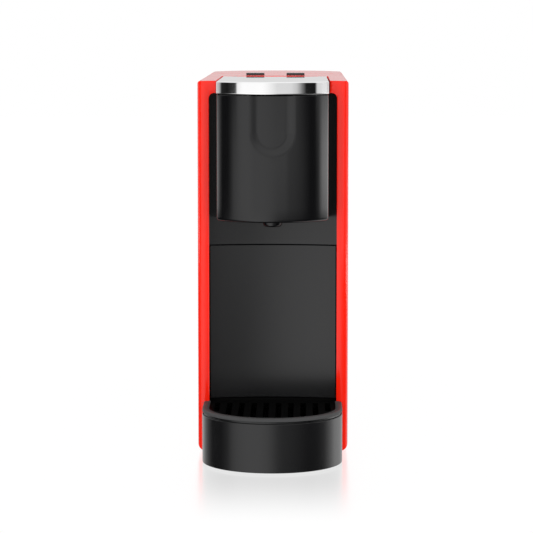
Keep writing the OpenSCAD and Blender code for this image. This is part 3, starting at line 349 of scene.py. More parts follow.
def eased_moulding(name, node, material, body, slot, radius, steps=3, arcs=()):
    """A piece of the node's own shape, with its triangles joined to clean faces and eased edges. A
    face of more than four sides is split again, so that none folds over an opening."""
    work = bmesh.new()
    work.from_mesh(nodes[node].data)
    bmesh.ops.remove_doubles(work, verts=work.verts, dist=1e-6)
    bmesh.ops.dissolve_limit(work, angle_limit=math.radians(0.02), verts=work.verts, edges=work.edges)
    many_sided = [face for face in work.faces if len(face.verts) > 4]
    bmesh.ops.triangulate(work, faces=many_sided, quad_method="BEAUTY", ngon_method="BEAUTY")
    mesh = bpy.data.meshes.new(name)
    work.to_mesh(mesh)
    work.free()
    return add_piece(name, settle(mesh, arcs, radius, steps=steps), material, body, slot, node)


# the top is very slightly crowned from side to side
CROWN_RISE = 0.5 * MM
crown_half = casing_high.x - 2.4 * MM
crown_radius = (crown_half ** 2 + CROWN_RISE ** 2) / (2 * CROWN_RISE)
crown = (0, 2, (0.0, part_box("tank_lid")[1].z - crown_radius), crown_radius)
red_gloss = moulded_plastic("red_gloss", CASING_RED, 0.12, drift=0.02, grain=0.0005, ior=1.48)
eased_moulding("casing_wrap", "outer_casing", red_gloss, "housing", "red_shell", CASING_EASE,
               arcs=[crown])

# ---------------------------------------------------------------------------------------------
# Base plate and inner frame: black ABS mouldings that nobody sees in use. They come from a coarse
# spark-eroded tool, so they are dull and grainy.


def finish_nodes(material, *names):
    """Gives CAD nodes that stay in view their material."""
    for name in names:
        for slot in nodes[name].material_slots:
            slot.material = material


inner_black = moulded_plastic("inner_black", (0.022, 0.022, 0.023), 0.5, grain=0.03, grain_size=0.7)
shelf_black = moulded_plastic("shelf_black", (0.003, 0.003, 0.003), 0.5, grain=0.01, ior=1.08)
finish_nodes(inner_black, "base_plate", "tank_cradle", "outlet_duct")
finish_nodes(shelf_black, "chassis")

# ---------------------------------------------------------------------------------------------
# Feet: four soft black rubber pads pressed into the base plate, each with two rings turned into
# its sole so that it grips the table.
RUBBER_BLACK = (0.012, 0.012, 0.012)


def rubber(name, colour, roughness=0.62):
    """Moulded rubber: matt, with a fine grain and paler dusty patches."""
    material = moulded_plastic(name, colour, roughness, drift=0.2, grain=0.05, grain_size=0.35)
    material.node_tree.nodes["Principled BSDF"].inputs["Sheen Weight"].default_value = 0.12
    return material


def new_tree(name, sizes):
    """An empty Geometry Nodes tree with geometry in and out, and a named input for each size."""
    tree = bpy.data.node_groups.new(name, "GeometryNodeTree")
    tree.interface.new_socket("Geometry", in_out="INPUT", socket_type="NodeSocketGeometry")
    tree.interface.new_socket("Geometry", in_out="OUTPUT", socket_type="NodeSocketGeometry")
    for size, value in sizes.items():
        kinds = {int: "NodeSocketInt", float: "NodeSocketFloat", tuple: "NodeSocketVector"}
        socket = tree.interface.new_socket(size, in_out="INPUT", socket_type=kinds[type(value)])
        socket.default_value = value
    tree.interface.new_socket("Material", in_out="INPUT", socket_type="NodeSocketMaterial")
    return tree, tree.nodes.new("NodeGroupInput"), tree.nodes.new("NodeGroupOutput")


def geo(tree, kind, **inputs):
    """A Geometry Nodes node with some inputs set to values or linked to sockets."""
    node = tree.nodes.new(kind)
    for name, value in inputs.items():
        socket = node.inputs[name.replace("_", " ")]
        if isinstance(value, bpy.types.NodeSocket):
            tree.links.new(value, socket)
        else:
            socket.default_value = value
    return node


def geo_math(tree, operation, *values):
    node = tree.nodes.new("ShaderNodeMath")
    node.operation = operation
    for place, value in enumerate(values):
        if isinstance(value, bpy.types.NodeSocket):
            tree.links.new(value, node.inputs[place])
        else:
            node.inputs[place].default_value = value
    return node.outputs[0]


def close_tree(tree, given, out, geometry):
    """Ends a tree in real geometry with its material set."""
    real = geo(tree, "GeometryNodeRealizeInstances", Geometry=geometry)
    coated = geo(tree, "GeometryNodeSetMaterial", Geometry=real.outputs[0],
                 Material=given.outputs["Material"])
    tree.links.new(coated.outputs[0], out.inputs["Geometry"])


def grow(name, tree, mesh, material, sizes=None):
    """Runs a tree on a mesh and gives the result as a plain mesh."""
    host = bpy.data.objects.new(name, mesh)
    scene.collection.objects.link(host)
    modifier = host.modifiers.new("tree", "NODES")
    modifier.node_group = tree
    for item in tree.interface.items_tree:
        if item.in_out == "INPUT" and sizes and item.name in sizes:
            modifier[item.identifier] = sizes[item.name]
        if item.in_out == "INPUT" and item.name == "Material":
            modifier[item.identifier] = material
    evaluated = host.evaluated_get(bpy.context.evaluated_depsgraph_get())
    plain = bpy.data.meshes.new_from_object(evaluated)
    plain.name = name
    bpy.data.objects.remove(host)
    return plain


def points_mesh(name, places):
    mesh = bpy.data.meshes.new(name)
    mesh.from_pydata(places, [], [])
    return mesh


def foot_tree():
    """Instances one foot on each point: a pad with grip rings in its sole and a stem above it."""
    tree, given, out = new_tree("foot", {"Pad Radius": 0.008, "Pad Height": 0.0057,
                                         "Stem Radius": 0.0025, "Stem Height": 0.0025,
                                         "Ring Depth": 0.0005})
    pad = geo(tree, "GeometryNodeMeshCylinder", Vertices=64, Radius=given.outputs["Pad Radius"],
              Depth=given.outputs["Pad Height"])
    lift = geo_math(tree, "MULTIPLY", given.outputs["Pad Height"], 0.5)
    place = geo(tree, "ShaderNodeCombineXYZ", Z=lift)
    pad_up = geo(tree, "GeometryNodeTransform", Geometry=pad.outputs["Mesh"],
                 Translation=place.outputs[0])
    stem = geo(tree, "GeometryNodeMeshCylinder", Vertices=32, Radius=given.outputs["Stem Radius"],
               Depth=given.outputs["Stem Height"])
    half_stem = geo_math(tree, "MULTIPLY_ADD", given.outputs["Stem Height"], 0.5,
                         given.outputs["Pad Height"])
    stem_place = geo(tree, "ShaderNodeCombineXYZ", Z=half_stem)
    stem_up = geo(tree, "GeometryNodeTransform", Geometry=stem.outputs["Mesh"],
                  Translation=stem_place.outputs[0])
    grooves = []
    for share in (0.45, 0.72):
        radius = geo_math(tree, "MULTIPLY", given.outputs["Pad Radius"], share)
        path = geo(tree, "GeometryNodeCurvePrimitiveCircle", Resolution=48, Radius=radius)
        bead = geo(tree, "GeometryNodeCurvePrimitiveCircle", Resolution=8,
                   Radius=given.outputs["Ring Depth"])
        groove = geo(tree, "GeometryNodeCurveToMesh", Curve=path.outputs[0],
                     Profile_Curve=bead.outputs[0])
        grooves.append(groove.outputs[0])
    cut = tree.nodes.new("GeometryNodeMeshBoolean")
    cut.operation = "DIFFERENCE"
    cut.solver = "EXACT"
    cut.inputs["Self Intersection"].default_value = True
    tree.links.new(pad_up.outputs[0], cut.inputs["Mesh 1"])
    for groove in grooves:
        tree.links.new(groove, cut.inputs["Mesh 2"])
    foot = tree.nodes.new("GeometryNodeJoinGeometry")
    tree.links.new(cut.outputs["Mesh"], foot.inputs[0])
    tree.links.new(stem_up.outputs[0], foot.inputs[0])
    feet = geo(tree, "GeometryNodeInstanceOnPoints", Points=given.outputs["Geometry"],
               Instance=foot.outputs[0])
    close_tree(tree, given, out, feet.outputs[0])
    return tree


feet_low, feet_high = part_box("rubber_feet")
foot_radius = 8 * MM
foot_places = [(x, y, 0) for x in (feet_low.x + foot_radius, feet_high.x - foot_radius)
               for y in (feet_low.y + foot_radius, feet_high.y - foot_radius)]
foot_rubber = rubber("foot_rubber", RUBBER_BLACK)
feet_mesh = grow("feet", foot_tree(), points_mesh("foot_points", foot_places), foot_rubber)
feet = add_piece("feet", feet_mesh, foot_rubber, "housing", "black_rubber", "rubber_feet")
ease_edges(feet, 0.5, degrees=60, steps=2)

# ---------------------------------------------------------------------------------------------
# Screws: zinc-plated self-tapping screws with a crossed recess. Six hold the casing on the base
# plate, four the brew unit on its rails, four the rear panel and six the lever's carrier.


def plated_steel(name, colour, roughness=0.28):
    """Steel with a thin zinc coat: slightly blotchy, with fine scratches."""
    material = bpy.data.materials.new(name)
    material.use_nodes = True
    tree = material.node_tree
    shader = tree.nodes["Principled BSDF"]
    place = add_node(tree, "TexCoord").outputs["Object"]
    cloud = add_node(tree, "TexNoise", Vector=place, Scale=900.0, Detail=5.0).outputs[0]
    tint = ramp_by(tree, cloud, [(0.35, [c * 0.82 for c in colour]), (0.7, colour)])
    tree.links.new(tint, shader.inputs["Base Color"])
    shader.inputs["Metallic"].default_value = 1.0
    rough = add_node(tree, "MapRange", Value=cloud, To_Min=roughness * 0.7, To_Max=roughness * 1.4)
    tree.links.new(rough.outputs[0], shader.inputs["Roughness"])
    scratch = add_node(tree, "TexNoise", Vector=place, Scale=2600.0, Detail=2.0).outputs[0]
    bump = add_node(tree, "Bump", Height=scratch, Strength=0.4, Distance=0.02 * MM)
    tree.links.new(bump.outputs[0], shader.inputs["Normal"])
    return material


def screw_tree():
    """Instances one screw on each point, driven along a given direction: a head with a crossed
    recess, a shank and a helical thread."""
    tree, given, out = new_tree("screw", {"Shank Radius": 0.0013, "Length": 0.01,
                                          "Head Radius": 0.003, "Head Height": 0.0015,
                                          "Thread Depth": 0.0002, "Pitch": 0.0011,
                                          "Drive": (0.0, 0.0, 1.0)})
    head_r, head_h = given.outputs["Head Radius"], given.outputs["Head Height"]
    head = geo(tree, "GeometryNodeMeshCylinder", Vertices=40, Side_Segments=1, Radius=head_r,
               Depth=head_h)
    sunk = geo_math(tree, "MULTIPLY", head_h, -0.5)
    head_at = geo(tree, "GeometryNodeTransform", Geometry=head.outputs["Mesh"],
                  Translation=geo(tree, "ShaderNodeCombineXYZ", Z=sunk).outputs[0])
    arm = geo_math(tree, "MULTIPLY", head_r, 1.2)
    blade = geo_math(tree, "MULTIPLY", head_r, 0.26)
    deep = geo_math(tree, "MULTIPLY", head_h, 1.2)
    outer = geo_math(tree, "MULTIPLY", head_h, -1.0)
    at_face = geo(tree, "ShaderNodeCombineXYZ", Z=outer).outputs[0]
    cut = tree.nodes.new("GeometryNodeMeshBoolean")
    cut.operation = "DIFFERENCE"
    cut.solver = "EXACT"
    cut.inputs["Self Intersection"].default_value = True
    tree.links.new(head_at.outputs[0], cut.inputs["Mesh 1"])
    for across, along in ((arm, blade), (blade, arm)):
        size = geo(tree, "ShaderNodeCombineXYZ", X=across, Y=along, Z=deep).outputs[0]
        cross = geo(tree, "GeometryNodeMeshCube", Size=size)
        placed = geo(tree, "GeometryNodeTransform", Geometry=cross.outputs["Mesh"], Translation=at_face)
        tree.links.new(placed.outputs[0], cut.inputs["Mesh 2"])
    length, shank_r = given.outputs["Length"], given.outputs["Shank Radius"]
    core_r = geo_math(tree, "SUBTRACT", shank_r, given.outputs["Thread Depth"])
    shank = geo(tree, "GeometryNodeMeshCylinder", Vertices=24, Radius=core_r, Depth=length)
    mid = geo_math(tree, "MULTIPLY", length, 0.5)
    shank_at = geo(tree, "GeometryNodeTransform", Geometry=shank.outputs["Mesh"],
                   Translation=geo(tree, "ShaderNodeCombineXYZ", Z=mid).outputs[0])
    turns = geo_math(tree, "DIVIDE", length, given.outputs["Pitch"])
    helix = geo(tree, "GeometryNodeCurveSpiral", Resolution=16, Rotations=turns, Start_Radius=core_r,
                End_Radius=core_r, Height=length)
    crest = geo(tree, "GeometryNodeCurvePrimitiveCircle", Resolution=4,
                Radius=given.outputs["Thread Depth"])
    thread = geo(tree, "GeometryNodeCurveToMesh", Curve=helix.outputs[0],
                 Profile_Curve=crest.outputs[0], Fill_Caps=True)
    screw = tree.nodes.new("GeometryNodeJoinGeometry")
    for part in (cut.outputs["Mesh"], shank_at.outputs[0], thread.outputs[0]):
        tree.links.new(part, screw.inputs[0])
    aim = tree.nodes.new("FunctionNodeAlignRotationToVector")
    aim.axis = "Z"
    tree.links.new(given.outputs["Drive"], aim.inputs["Vector"])
    screws = geo(tree, "GeometryNodeInstanceOnPoints", Points=given.outputs["Geometry"],
                 Instance=screw.outputs[0], Rotation=aim.outputs[0])
    close_tree(tree, given, out, screws.outputs[0])
    return tree


def screw_set(name, node, body, places, drive, shank, length, head, thick):
    """Screws with their heads' undersides at those places."""
    mesh = grow(name, driven_screw, points_mesh(name + "_points", places), zinc,
                {"Shank Radius": shank * MM, "Length": length * MM, "Head Radius": head * MM,
                 "Head Height": thick * MM, "Drive": drive})
    return add_piece(name, mesh, zinc, body, "screw_steel", node)


zinc = plated_steel("zinc_plate", (0.62, 0.62, 0.6))
driven_screw = screw_tree()
low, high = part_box("base_screws")
screw_set("base_screw_set", "base_screws", "housing",
          [(x, low.y + 3 * MM + share * (high.y - low.y - 6 * MM), low.z + 1.5 * MM)
           for x in (low.x + 3 * MM, high.x - 3 * MM) for share in (0, 0.5, 1)],
          (0.0, 0.0, 1.0), 1.5, (high.z - low.z) / MM - 1.5, 3, 1.5)
low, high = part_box("frame_screws")
screw_set("frame_screw_set", "frame_screws", "housing",
          [(x, y, high.z - 1.5 * MM) for x in (low.x + 2.8 * MM, high.x - 2.8 * MM)
           for y in (low.y + 2.8 * MM, high.y - 2.8 * MM)],
          (0.0, 0.0, -1.0), 1.5, (high.z - low.z) / MM - 1.5, 2.8, 1.5)
low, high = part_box("rear_screws")
screw_set("rear_screw_set", "rear_screws", "housing",
          [(x, high.y - 0.7 * MM, z) for x in (low.x + 2.8 * MM, high.x - 2.8 * MM)
           for z in (low.z + 2.8 * MM, high.z - 2.8 * MM)],
          (0.0, -1.0, 0.0), 1.5, (high.y - low.y) / MM - 0.7, 2.8, 0.7)
low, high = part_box("lever_screws")
screw_set("lever_screw_set", "lever_screws", "lever",
          [(x, low.y + 2.2 * MM + share * (high.y - low.y - 4.4 * MM), low.z + 1.2 * MM)
           for x in (low.x + 2.2 * MM, high.x - 2.2 * MM) for share in (0, 0.5, 1)],
          (0.0, 0.0, 1.0), 1.1, (high.z - low.z) / MM - 1.2, 2.2, 1.2)

# ---------------------------------------------------------------------------------------------
# Front: a hollow sheet of gloss black ABS in two parts. The upper one is fixed round the head, the
# lower one is the front of the capsule bin and pulls out with it.
panel_black = moulded_plastic("panel_black", (0.009, 0.009, 0.0095), 0.2, grain=0.004, grain_size=0.5)
hollow = (front - 164 * MM)
sheet = [(0, 1, (0.0, hollow), 176 * MM), (0, 1, (0.0, hollow), 178.5 * MM)]
eased_moulding("panel_upper", "front_panel", panel_black, "housing", "satin_black", 0.35, arcs=sheet)
eased_moulding("panel_lower", "bin_front", panel_black, "bin", "satin_black", 0.35, arcs=sheet)

# ---------------------------------------------------------------------------------------------
# Head: a piano black ABS cover over the outlet side of the brew unit, with a round front, a soft
# bottom edge and a shallow finger scoop below the lever's lip. It snaps on to the front panel.
FRONT_RADIUS = 51.6 * MM
CORNER = 3.2 * MM
HEAD_WALL = 3.5 * MM
HEAD_SOFT = 2.6 * MM
SCOOP_HALF = 17.2 * MM
SCOOP_FLAT = 11.0 * MM
SCOOP_CENTRE = 242.5 * MM
SCOOP_DEPTH = 3.1 * MM
SPOUT_RADIUS = 7.25 * MM


def round_front(half, radius, corner, centre, rear, arc_steps=64, side_steps=6, corner_steps=8):
    """Plan of head and lever: from the rear left, round the front, to the rear right. The front is
    an arc about x = 0 and meets the straight sides in round corners."""
    corner_x = half - corner
    corner_y = centre - math.sqrt((radius - corner) ** 2 - corner_x ** 2)
    meet = math.asin(corner_x / (radius - corner))
    right = []
    for k in range(arc_steps // 2 + 1):
        turn = meet * k / (arc_steps // 2)
        right.append((radius * math.sin(turn), centre - radius * math.cos(turn)))
    for k in range(1, corner_steps + 1):
        turn = meet + (math.pi / 2 - meet) * k / corner_steps
        right.append((corner_x + corner * math.sin(turn), corner_y - corner * math.cos(turn)))
    for k in range(1, side_steps + 1):
        right.append((half, corner_y + (rear - corner_y) * k / side_steps))
    return [(-x, y) for x, y in reversed(right[1:])] + right


def ring_faces(work, first, second, closed):
    count = len(first)
    for k in range(count if closed else count - 1):
        n = (k + 1) % count
        work.faces.new((first[k], first[n], second[n], second[k]))


def mesh_from(name, work, outward=True):
    bmesh.ops.remove_doubles(work, verts=work.verts, dist=1e-7)
    if outward:
        bmesh.ops.recalc_face_normals(work, faces=work.faces)
    mesh = bpy.data.meshes.new(name)
    work.to_mesh(mesh)
    work.free()
    return mesh


def scoop(x, z):
    """Depth of the finger scoop at a place on the head's front."""
    away = abs(x) if z > SCOOP_CENTRE else math.hypot(x, z - SCOOP_CENTRE)
    share = min(max((SCOOP_HALF - away) / (SCOOP_HALF - SCOOP_FLAT), 0), 1)
    return SCOOP_DEPTH * share * share * (3 - 2 * share)


def head_mesh():
    low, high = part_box("head_cover")
    half = high.x
    centre = low.y + FRONT_RADIUS
    panel_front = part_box("front_panel")[0].y
    rear = panel_front + 6.5 * MM
    soft = [(HEAD_SOFT * (1 - math.sin(math.pi / 2 * k / 6)),
             low.z + HEAD_SOFT * (1 - math.cos(math.pi / 2 * k / 6))) for k in range(7)]
    scoop_start = SCOOP_CENTRE - SCOOP_HALF
    rows = soft + [(0.0, low.z + HEAD_SOFT + (scoop_start - low.z - HEAD_SOFT) * k / 6)
                   for k in range(1, 7)]
    fine = 56
    rows += [(0.0, scoop_start + (high.z - scoop_start) * k / fine) for k in range(1, fine + 1)]
    work = bmesh.new()
    rings = []
    for inset, height in rows:
        outline = round_front(half - inset, FRONT_RADIUS - inset, CORNER, centre, rear, arc_steps=150)
        ring = []
        for x, y in outline:
            inward = scoop(x, height) if y < centre - FRONT_RADIUS * 0.5 else 0.0
            toward = Vector((-x, centre - y)).normalized() * inward
            ring.append(work.verts.new((x + toward.x, y + toward.y, height)))
        rings.append(ring)
    for lower, upper in zip(rings, rings[1:]):
        ring_faces(work, lower, upper, closed=False)
    # underside, with the hole that the spout comes through
    spout_low, spout_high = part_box("spout")
    spout_y = (spout_low.y + spout_high.y) / 2
    hole = [work.verts.new((SPOUT_RADIUS * math.cos(k * math.tau / 48),
                            spout_y + SPOUT_RADIUS * math.sin(k * math.tau / 48), low.z))
            for k in range(48)]
    edges = [work.edges.get((a, b)) for a, b in zip(rings[0], rings[0][1:])]
    edges.append(work.edges.new((rings[0][-1], rings[0][0])))
    edges += [work.edges.new((hole[k], hole[(k + 1) % 48])) for k in range(48)]
    bmesh.ops.triangle_fill(work, use_beauty=True, use_dissolve=False, edges=edges,
                            normal=(0, 0, -1))
    bmesh.ops.recalc_face_normals(work, faces=work.faces)
    front_face = max(work.faces, key=lambda face: -face.calc_center_median().y)
    if front_face.normal.y > 0:
        bmesh.ops.reverse_faces(work, faces=work.faces)
    return mesh_from("head_shell", work, outward=False)


piano_black = moulded_plastic("piano_black", (0.004, 0.004, 0.0045), 0.12, grain=0.0004)
head_shell = add_piece("head_shell", head_mesh(), piano_black, "housing", "gloss_black", "head_cover")
wall = head_shell.modifiers.new("wall", "SOLIDIFY")
wall.thickness = HEAD_WALL
wall.offset = -1
wall.use_even_offset = True
flat = head_shell.modifiers.new("flat_faces", "WEIGHTED_NORMAL")
flat.keep_sharp = True


def lathe_rings(work, rings, segments, centre):
    """Closed solid of revolution about a vertical axis, from (radius, height) pairs."""
    loops = []
    for radius, height in rings:
        loops.append([work.verts.new((centre[0] + radius * math.cos(k * math.tau / segments),
                                      centre[1] + radius * math.sin(k * math.tau / segments),
                                      height)) for k in range(segments)])
    for lower, upper in zip(loops, loops[1:]):
        for k in range(segments):
            n = (k + 1) % segments
            work.faces.new((lower[k], lower[n], upper[n], upper[k]))
    work.faces.new(loops[0][::-1])
    work.faces.new(loops[-1])


def spout_mesh():
    """A turned cup with a round lip, an open mouth below and a flange above."""
    low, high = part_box("spout")
    flange = (high.x - low.x) / 2
    radius = flange - 2 * MM
    lip = [(4.6, 0.0), (5.3, 0.08), (6.1, 0.5), (6.7, 1.15), (7.05, 2.0), (7.2, 3.0)]
    profile = [(4.2 * MM, low.z + 6 * MM), (4.2 * MM, low.z + 0.4 * MM)]
    profile += [(reach * MM, low.z + height * MM) for reach, height in lip]
    profile += [(radius, high.z - 2.1 * MM), (flange, high.z - 2 * MM), (flange, high.z)]
    work = bmesh.new()
    lathe_rings(work, profile, 64, (0, (low.y + high.y) / 2))
    return mesh_from("spout_nozzle", work)


spout = add_piece("spout_nozzle", spout_mesh(), piano_black, "housing", "satin_black", "spout")
ease_edges(spout, 0.25, degrees=60, steps=2)
finish_nodes(piano_black, "chute_deck")

# ---------------------------------------------------------------------------------------------
# Lever: a chromed ABS cap with a bright, slightly wavy plated skin, on a black carrier. It is
# hinged behind the capsule's mouth on a steel pin through the cap's barrels.
LEVER_CORNER = 3.2 * MM
LEVER_EDGE = 0.9 * MM
LEVER_SKIN = 1.5 * MM
BARREL_RADIUS = 2.2 * MM
CHEEK = (29.6 * MM, 33.4 * MM)


def chrome_plate(name):
    """Bright chrome on plastic: a mirror with a hair of haze and the moulding's long waves."""
    material = bpy.data.materials.new(name)
    material.use_nodes = True
    tree = material.node_tree
    shader = tree.nodes["Principled BSDF"]
    place = add_node(tree, "TexCoord").outputs["Object"]
    cloud = add_node(tree, "TexNoise", Vector=place, Scale=40.0, Detail=5.0).outputs[0]
    tint = ramp_by(tree, cloud, [(0.3, (0.90, 0.90, 0.905)), (0.7, (0.94, 0.94, 0.94))])
    tree.links.new(tint, shader.inputs["Base Color"])
    shader.inputs["Metallic"].default_value = 1.0
    haze = add_node(tree, "MapRange", Value=cloud, To_Min=0.02, To_Max=0.045)
    tree.links.new(haze.outputs[0], shader.inputs["Roughness"])
    waves = add_node(tree, "TexNoise", Vector=place, Scale=45.0, Detail=0.0).outputs[0]
    bump = add_node(tree, "Bump", Height=waves, Strength=1.0, Distance=0.0008 * MM)
    tree.links.new(bump.outputs[0], shader.inputs["Normal"])
    return material


def stack_rings(work, outline, profile, closed_profile=False):
    """Skins a stack of outlines. outline(inset) gives the plan drawn in by an inset, and the
    profile is a list of (inset, height). Open ends are closed with flat faces."""
    rings = [[work.verts.new((x, y, height)) for x, y in outline(inset)] for inset, height in profile]
    for lower, upper in zip(rings, rings[1:]):
        ring_faces(work, lower, upper, closed=True)
    if closed_profile:
        ring_faces(work, rings[-1], rings[0], closed=True)
    else:
        work.faces.new(rings[0][::-1])
        work.faces.new(rings[-1])


def round_edge(inset0, z0, inset1, z1, steps=5):
    """Quarter circle in (inset, height) that leaves the first point upright and arrives level."""
    return [(inset0 + (inset1 - inset0) * (1 - math.cos(math.pi / 2 * k / steps)),
             z0 + (z1 - z0) * math.sin(math.pi / 2 * k / steps)) for k in range(steps + 1)]


def rod_along_x(work, x0, x1, y, z, radius, ease, segments=32):
    """Closed round bar along x with eased ends."""
    loops = []
    for x, r in ((x0, radius - ease), (x0 + ease, radius), (x1 - ease, radius), (x1, radius - ease)):
        loops.append([work.verts.new((x, y + r * math.cos(k * math.tau / segments),
                                      z + r * math.sin(k * math.tau / segments)))
                      for k in range(segments)])
    for lower, upper in zip(loops, loops[1:]):
        ring_faces(work, lower, upper, closed=True)
    work.faces.new(loops[0][::-1])
    work.faces.new(loops[-1])


def lever_mesh():
    low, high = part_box("lever_cap")
    hinge_y = high.y - BARREL_RADIUS
    hinge_z = high.z - BARREL_RADIUS
    radius = FRONT_RADIUS + 0.4 * MM
    centre = low.y + radius

    def plan(inset):
        return round_front(high.x - inset, radius - inset, LEVER_CORNER - inset, centre,
                           hinge_y - 0.6 * MM - inset)

    lip = 0.35 * MM
    profile = [(LEVER_SKIN, high.z - LEVER_SKIN), (LEVER_SKIN, low.z + lip), (LEVER_SKIN - lip, low.z),
               (lip, low.z), (0.0, low.z + lip), (0.0, low.z + 2 * lip),
               (0.0, high.z - LEVER_EDGE - lip)]
    profile += round_edge(0.0, high.z - LEVER_EDGE, LEVER_EDGE, high.z)
    work = bmesh.new()
    stack_rings(work, plan, profile)
    for x0, x1 in ((-high.x, -CHEEK[1]), (-CHEEK[0], CHEEK[0]), (CHEEK[1], high.x)):
        rod_along_x(work, x0, x1, hinge_y, hinge_z, BARREL_RADIUS, 0.3 * MM)
    return mesh_from("lever_chrome", work)


chrome = chrome_plate("chrome_plate")
lever_chrome = add_piece("lever_chrome", lever_mesh(), chrome, "lever", "chrome_cap", "lever_cap")
flat = lever_chrome.modifiers.new("flat_faces", "WEIGHTED_NORMAL")
flat.keep_sharp = True
carrier_black = moulded_plastic("carrier_black", (0.02, 0.02, 0.02), 0.42, grain=0.02)
finish_nodes(carrier_black, "lever_frame")

# ---------------------------------------------------------------------------------------------
# Drip tray: a deep black bowl that slides in between the casing's feet, a flat satin ring on top
# of it with a groove below, and a loose grille inside the ring for the cup to stand on.
TRAY_RADIUS = 51.4 * MM
TRAY_CORNER = 4.0 * MM
RING_WIDTH = 5.0 * MM
RING_EDGE = 1.2 * MM
GROOVE_INSET = 1.6 * MM
GROOVE_HEIGHT = 1.6 * MM
TRAY_WALL = 2.0 * MM
SLOT_COUNT = 10
SLOT_PITCH = 9.05 * MM
SLOT_WIDTH = 4.1 * MM
SLOT_MARGIN = 4.0 * MM
SLOT_REAR = 10.0 * MM

ring_low, ring_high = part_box("tray_rim")


def tray_plan(inset, front_steps=96, corner_steps=8):
    """The tray's plan drawn in by an inset: a half-round front, straight sides and rear corners."""
    centre = ring_low.y + TRAY_RADIUS
    radius = TRAY_RADIUS - inset
    rear = ring_high.y - inset
    points = []
    for k in range(front_steps + 1):
        turn = -math.pi / 2 + math.pi * k / front_steps
        points.append((radius * math.sin(turn), centre - radius * math.cos(turn)))
    for side, start in ((1, 0.0), (-1, math.pi / 2)):
        for k in range(corner_steps + 1):
            turn = start + math.pi / 2 * k / corner_steps
            points.append((side * (radius - TRAY_CORNER) + TRAY_CORNER * math.cos(turn),
                           rear - TRAY_CORNER + TRAY_CORNER * math.sin(turn)))
    return points


def combine(mesh, other, operation):
    """The union or difference of two closed meshes, as a new mesh."""
    first = bpy.data.objects.new("first", mesh)
    second = bpy.data.objects.new("second", other)
    scene.collection.objects.link(first)
    scene.collection.objects.link(second)
    joint = first.modifiers.new("joint", "BOOLEAN")
    joint.operation = operation
    joint.solver = "EXACT"
    joint.object = second
    evaluated = first.evaluated_get(bpy.context.evaluated_depsgraph_get())
    result = bpy.data.meshes.new_from_object(evaluated)
    result.name = mesh.name
    bpy.data.objects.remove(first)
    bpy.data.objects.remove(second)
    return result


def box_mesh(low, high):
    work = bmesh.new()
    bmesh.ops.create_cube(work, size=1)
    for vert in work.verts:
        vert.co = [low[k] + (vert.co[k] + 0.5) * (high[k] - low[k]) for k in range(3)]
    return mesh_from("box", work)


def rear_gap(play, bottom, upper, past):
    """The space between the ring's two arms, where the grille reaches the front panel."""
    half = TRAY_RADIUS - RING_WIDTH - play
    return box_mesh((-half, ring_high.y - RING_WIDTH - 6 * MM, bottom), (half, ring_high.y + past, upper))


def ring_mesh():
    bottom, upper = ring_low.z, ring_high.z
    ease = 0.3 * MM
    profile = [(ease, bottom), (0.0, bottom + ease)]
    profile += round_edge(0.0, upper - RING_EDGE, RING_EDGE, upper)
    profile += [(RING_WIDTH - ease, upper), (RING_WIDTH, upper - ease), (RING_WIDTH, bottom)]
    work = bmesh.new()
    stack_rings(work, tray_plan, profile, closed_profile=True)
    ring = mesh_from("tray_ring", work)
    return combine(ring, rear_gap(0.0, bottom - MM, upper + MM, MM), "DIFFERENCE")


def bowl_mesh():
    """The bowl with a groove below its ring, and the open tongue that reaches under the bin."""
    low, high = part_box("tray_bowl")
    ledge = high.z - GROOVE_HEIGHT
    inner = GROOVE_INSET + TRAY_WALL
    work = bmesh.new()
    stack_rings(work, tray_plan, [(0.0, low.z), (0.0, ledge), (GROOVE_INSET, ledge),
                                  (GROOVE_INSET, high.z), (inner, high.z), (inner, low.z + TRAY_WALL)])
    bowl = mesh_from("tray_body", work)
    tongue = [vert.co for vert in nodes["tray_bowl"].data.vertices if vert.co.y > ring_high.y + MM]
    half = max(co.x for co in tongue)
    start = ring_high.y - 9.5 * MM
    bottom, upper = min(co.z for co in tongue), max(co.z for co in tongue)
    bowl = combine(bowl, box_mesh((-half, start, bottom), (half, high.y, upper)), "UNION")
    return combine(bowl, box_mesh((-half + TRAY_WALL, start - 2 * MM, bottom + TRAY_WALL),
                                  (half - TRAY_WALL, high.y - TRAY_WALL, upper + MM)), "DIFFERENCE")


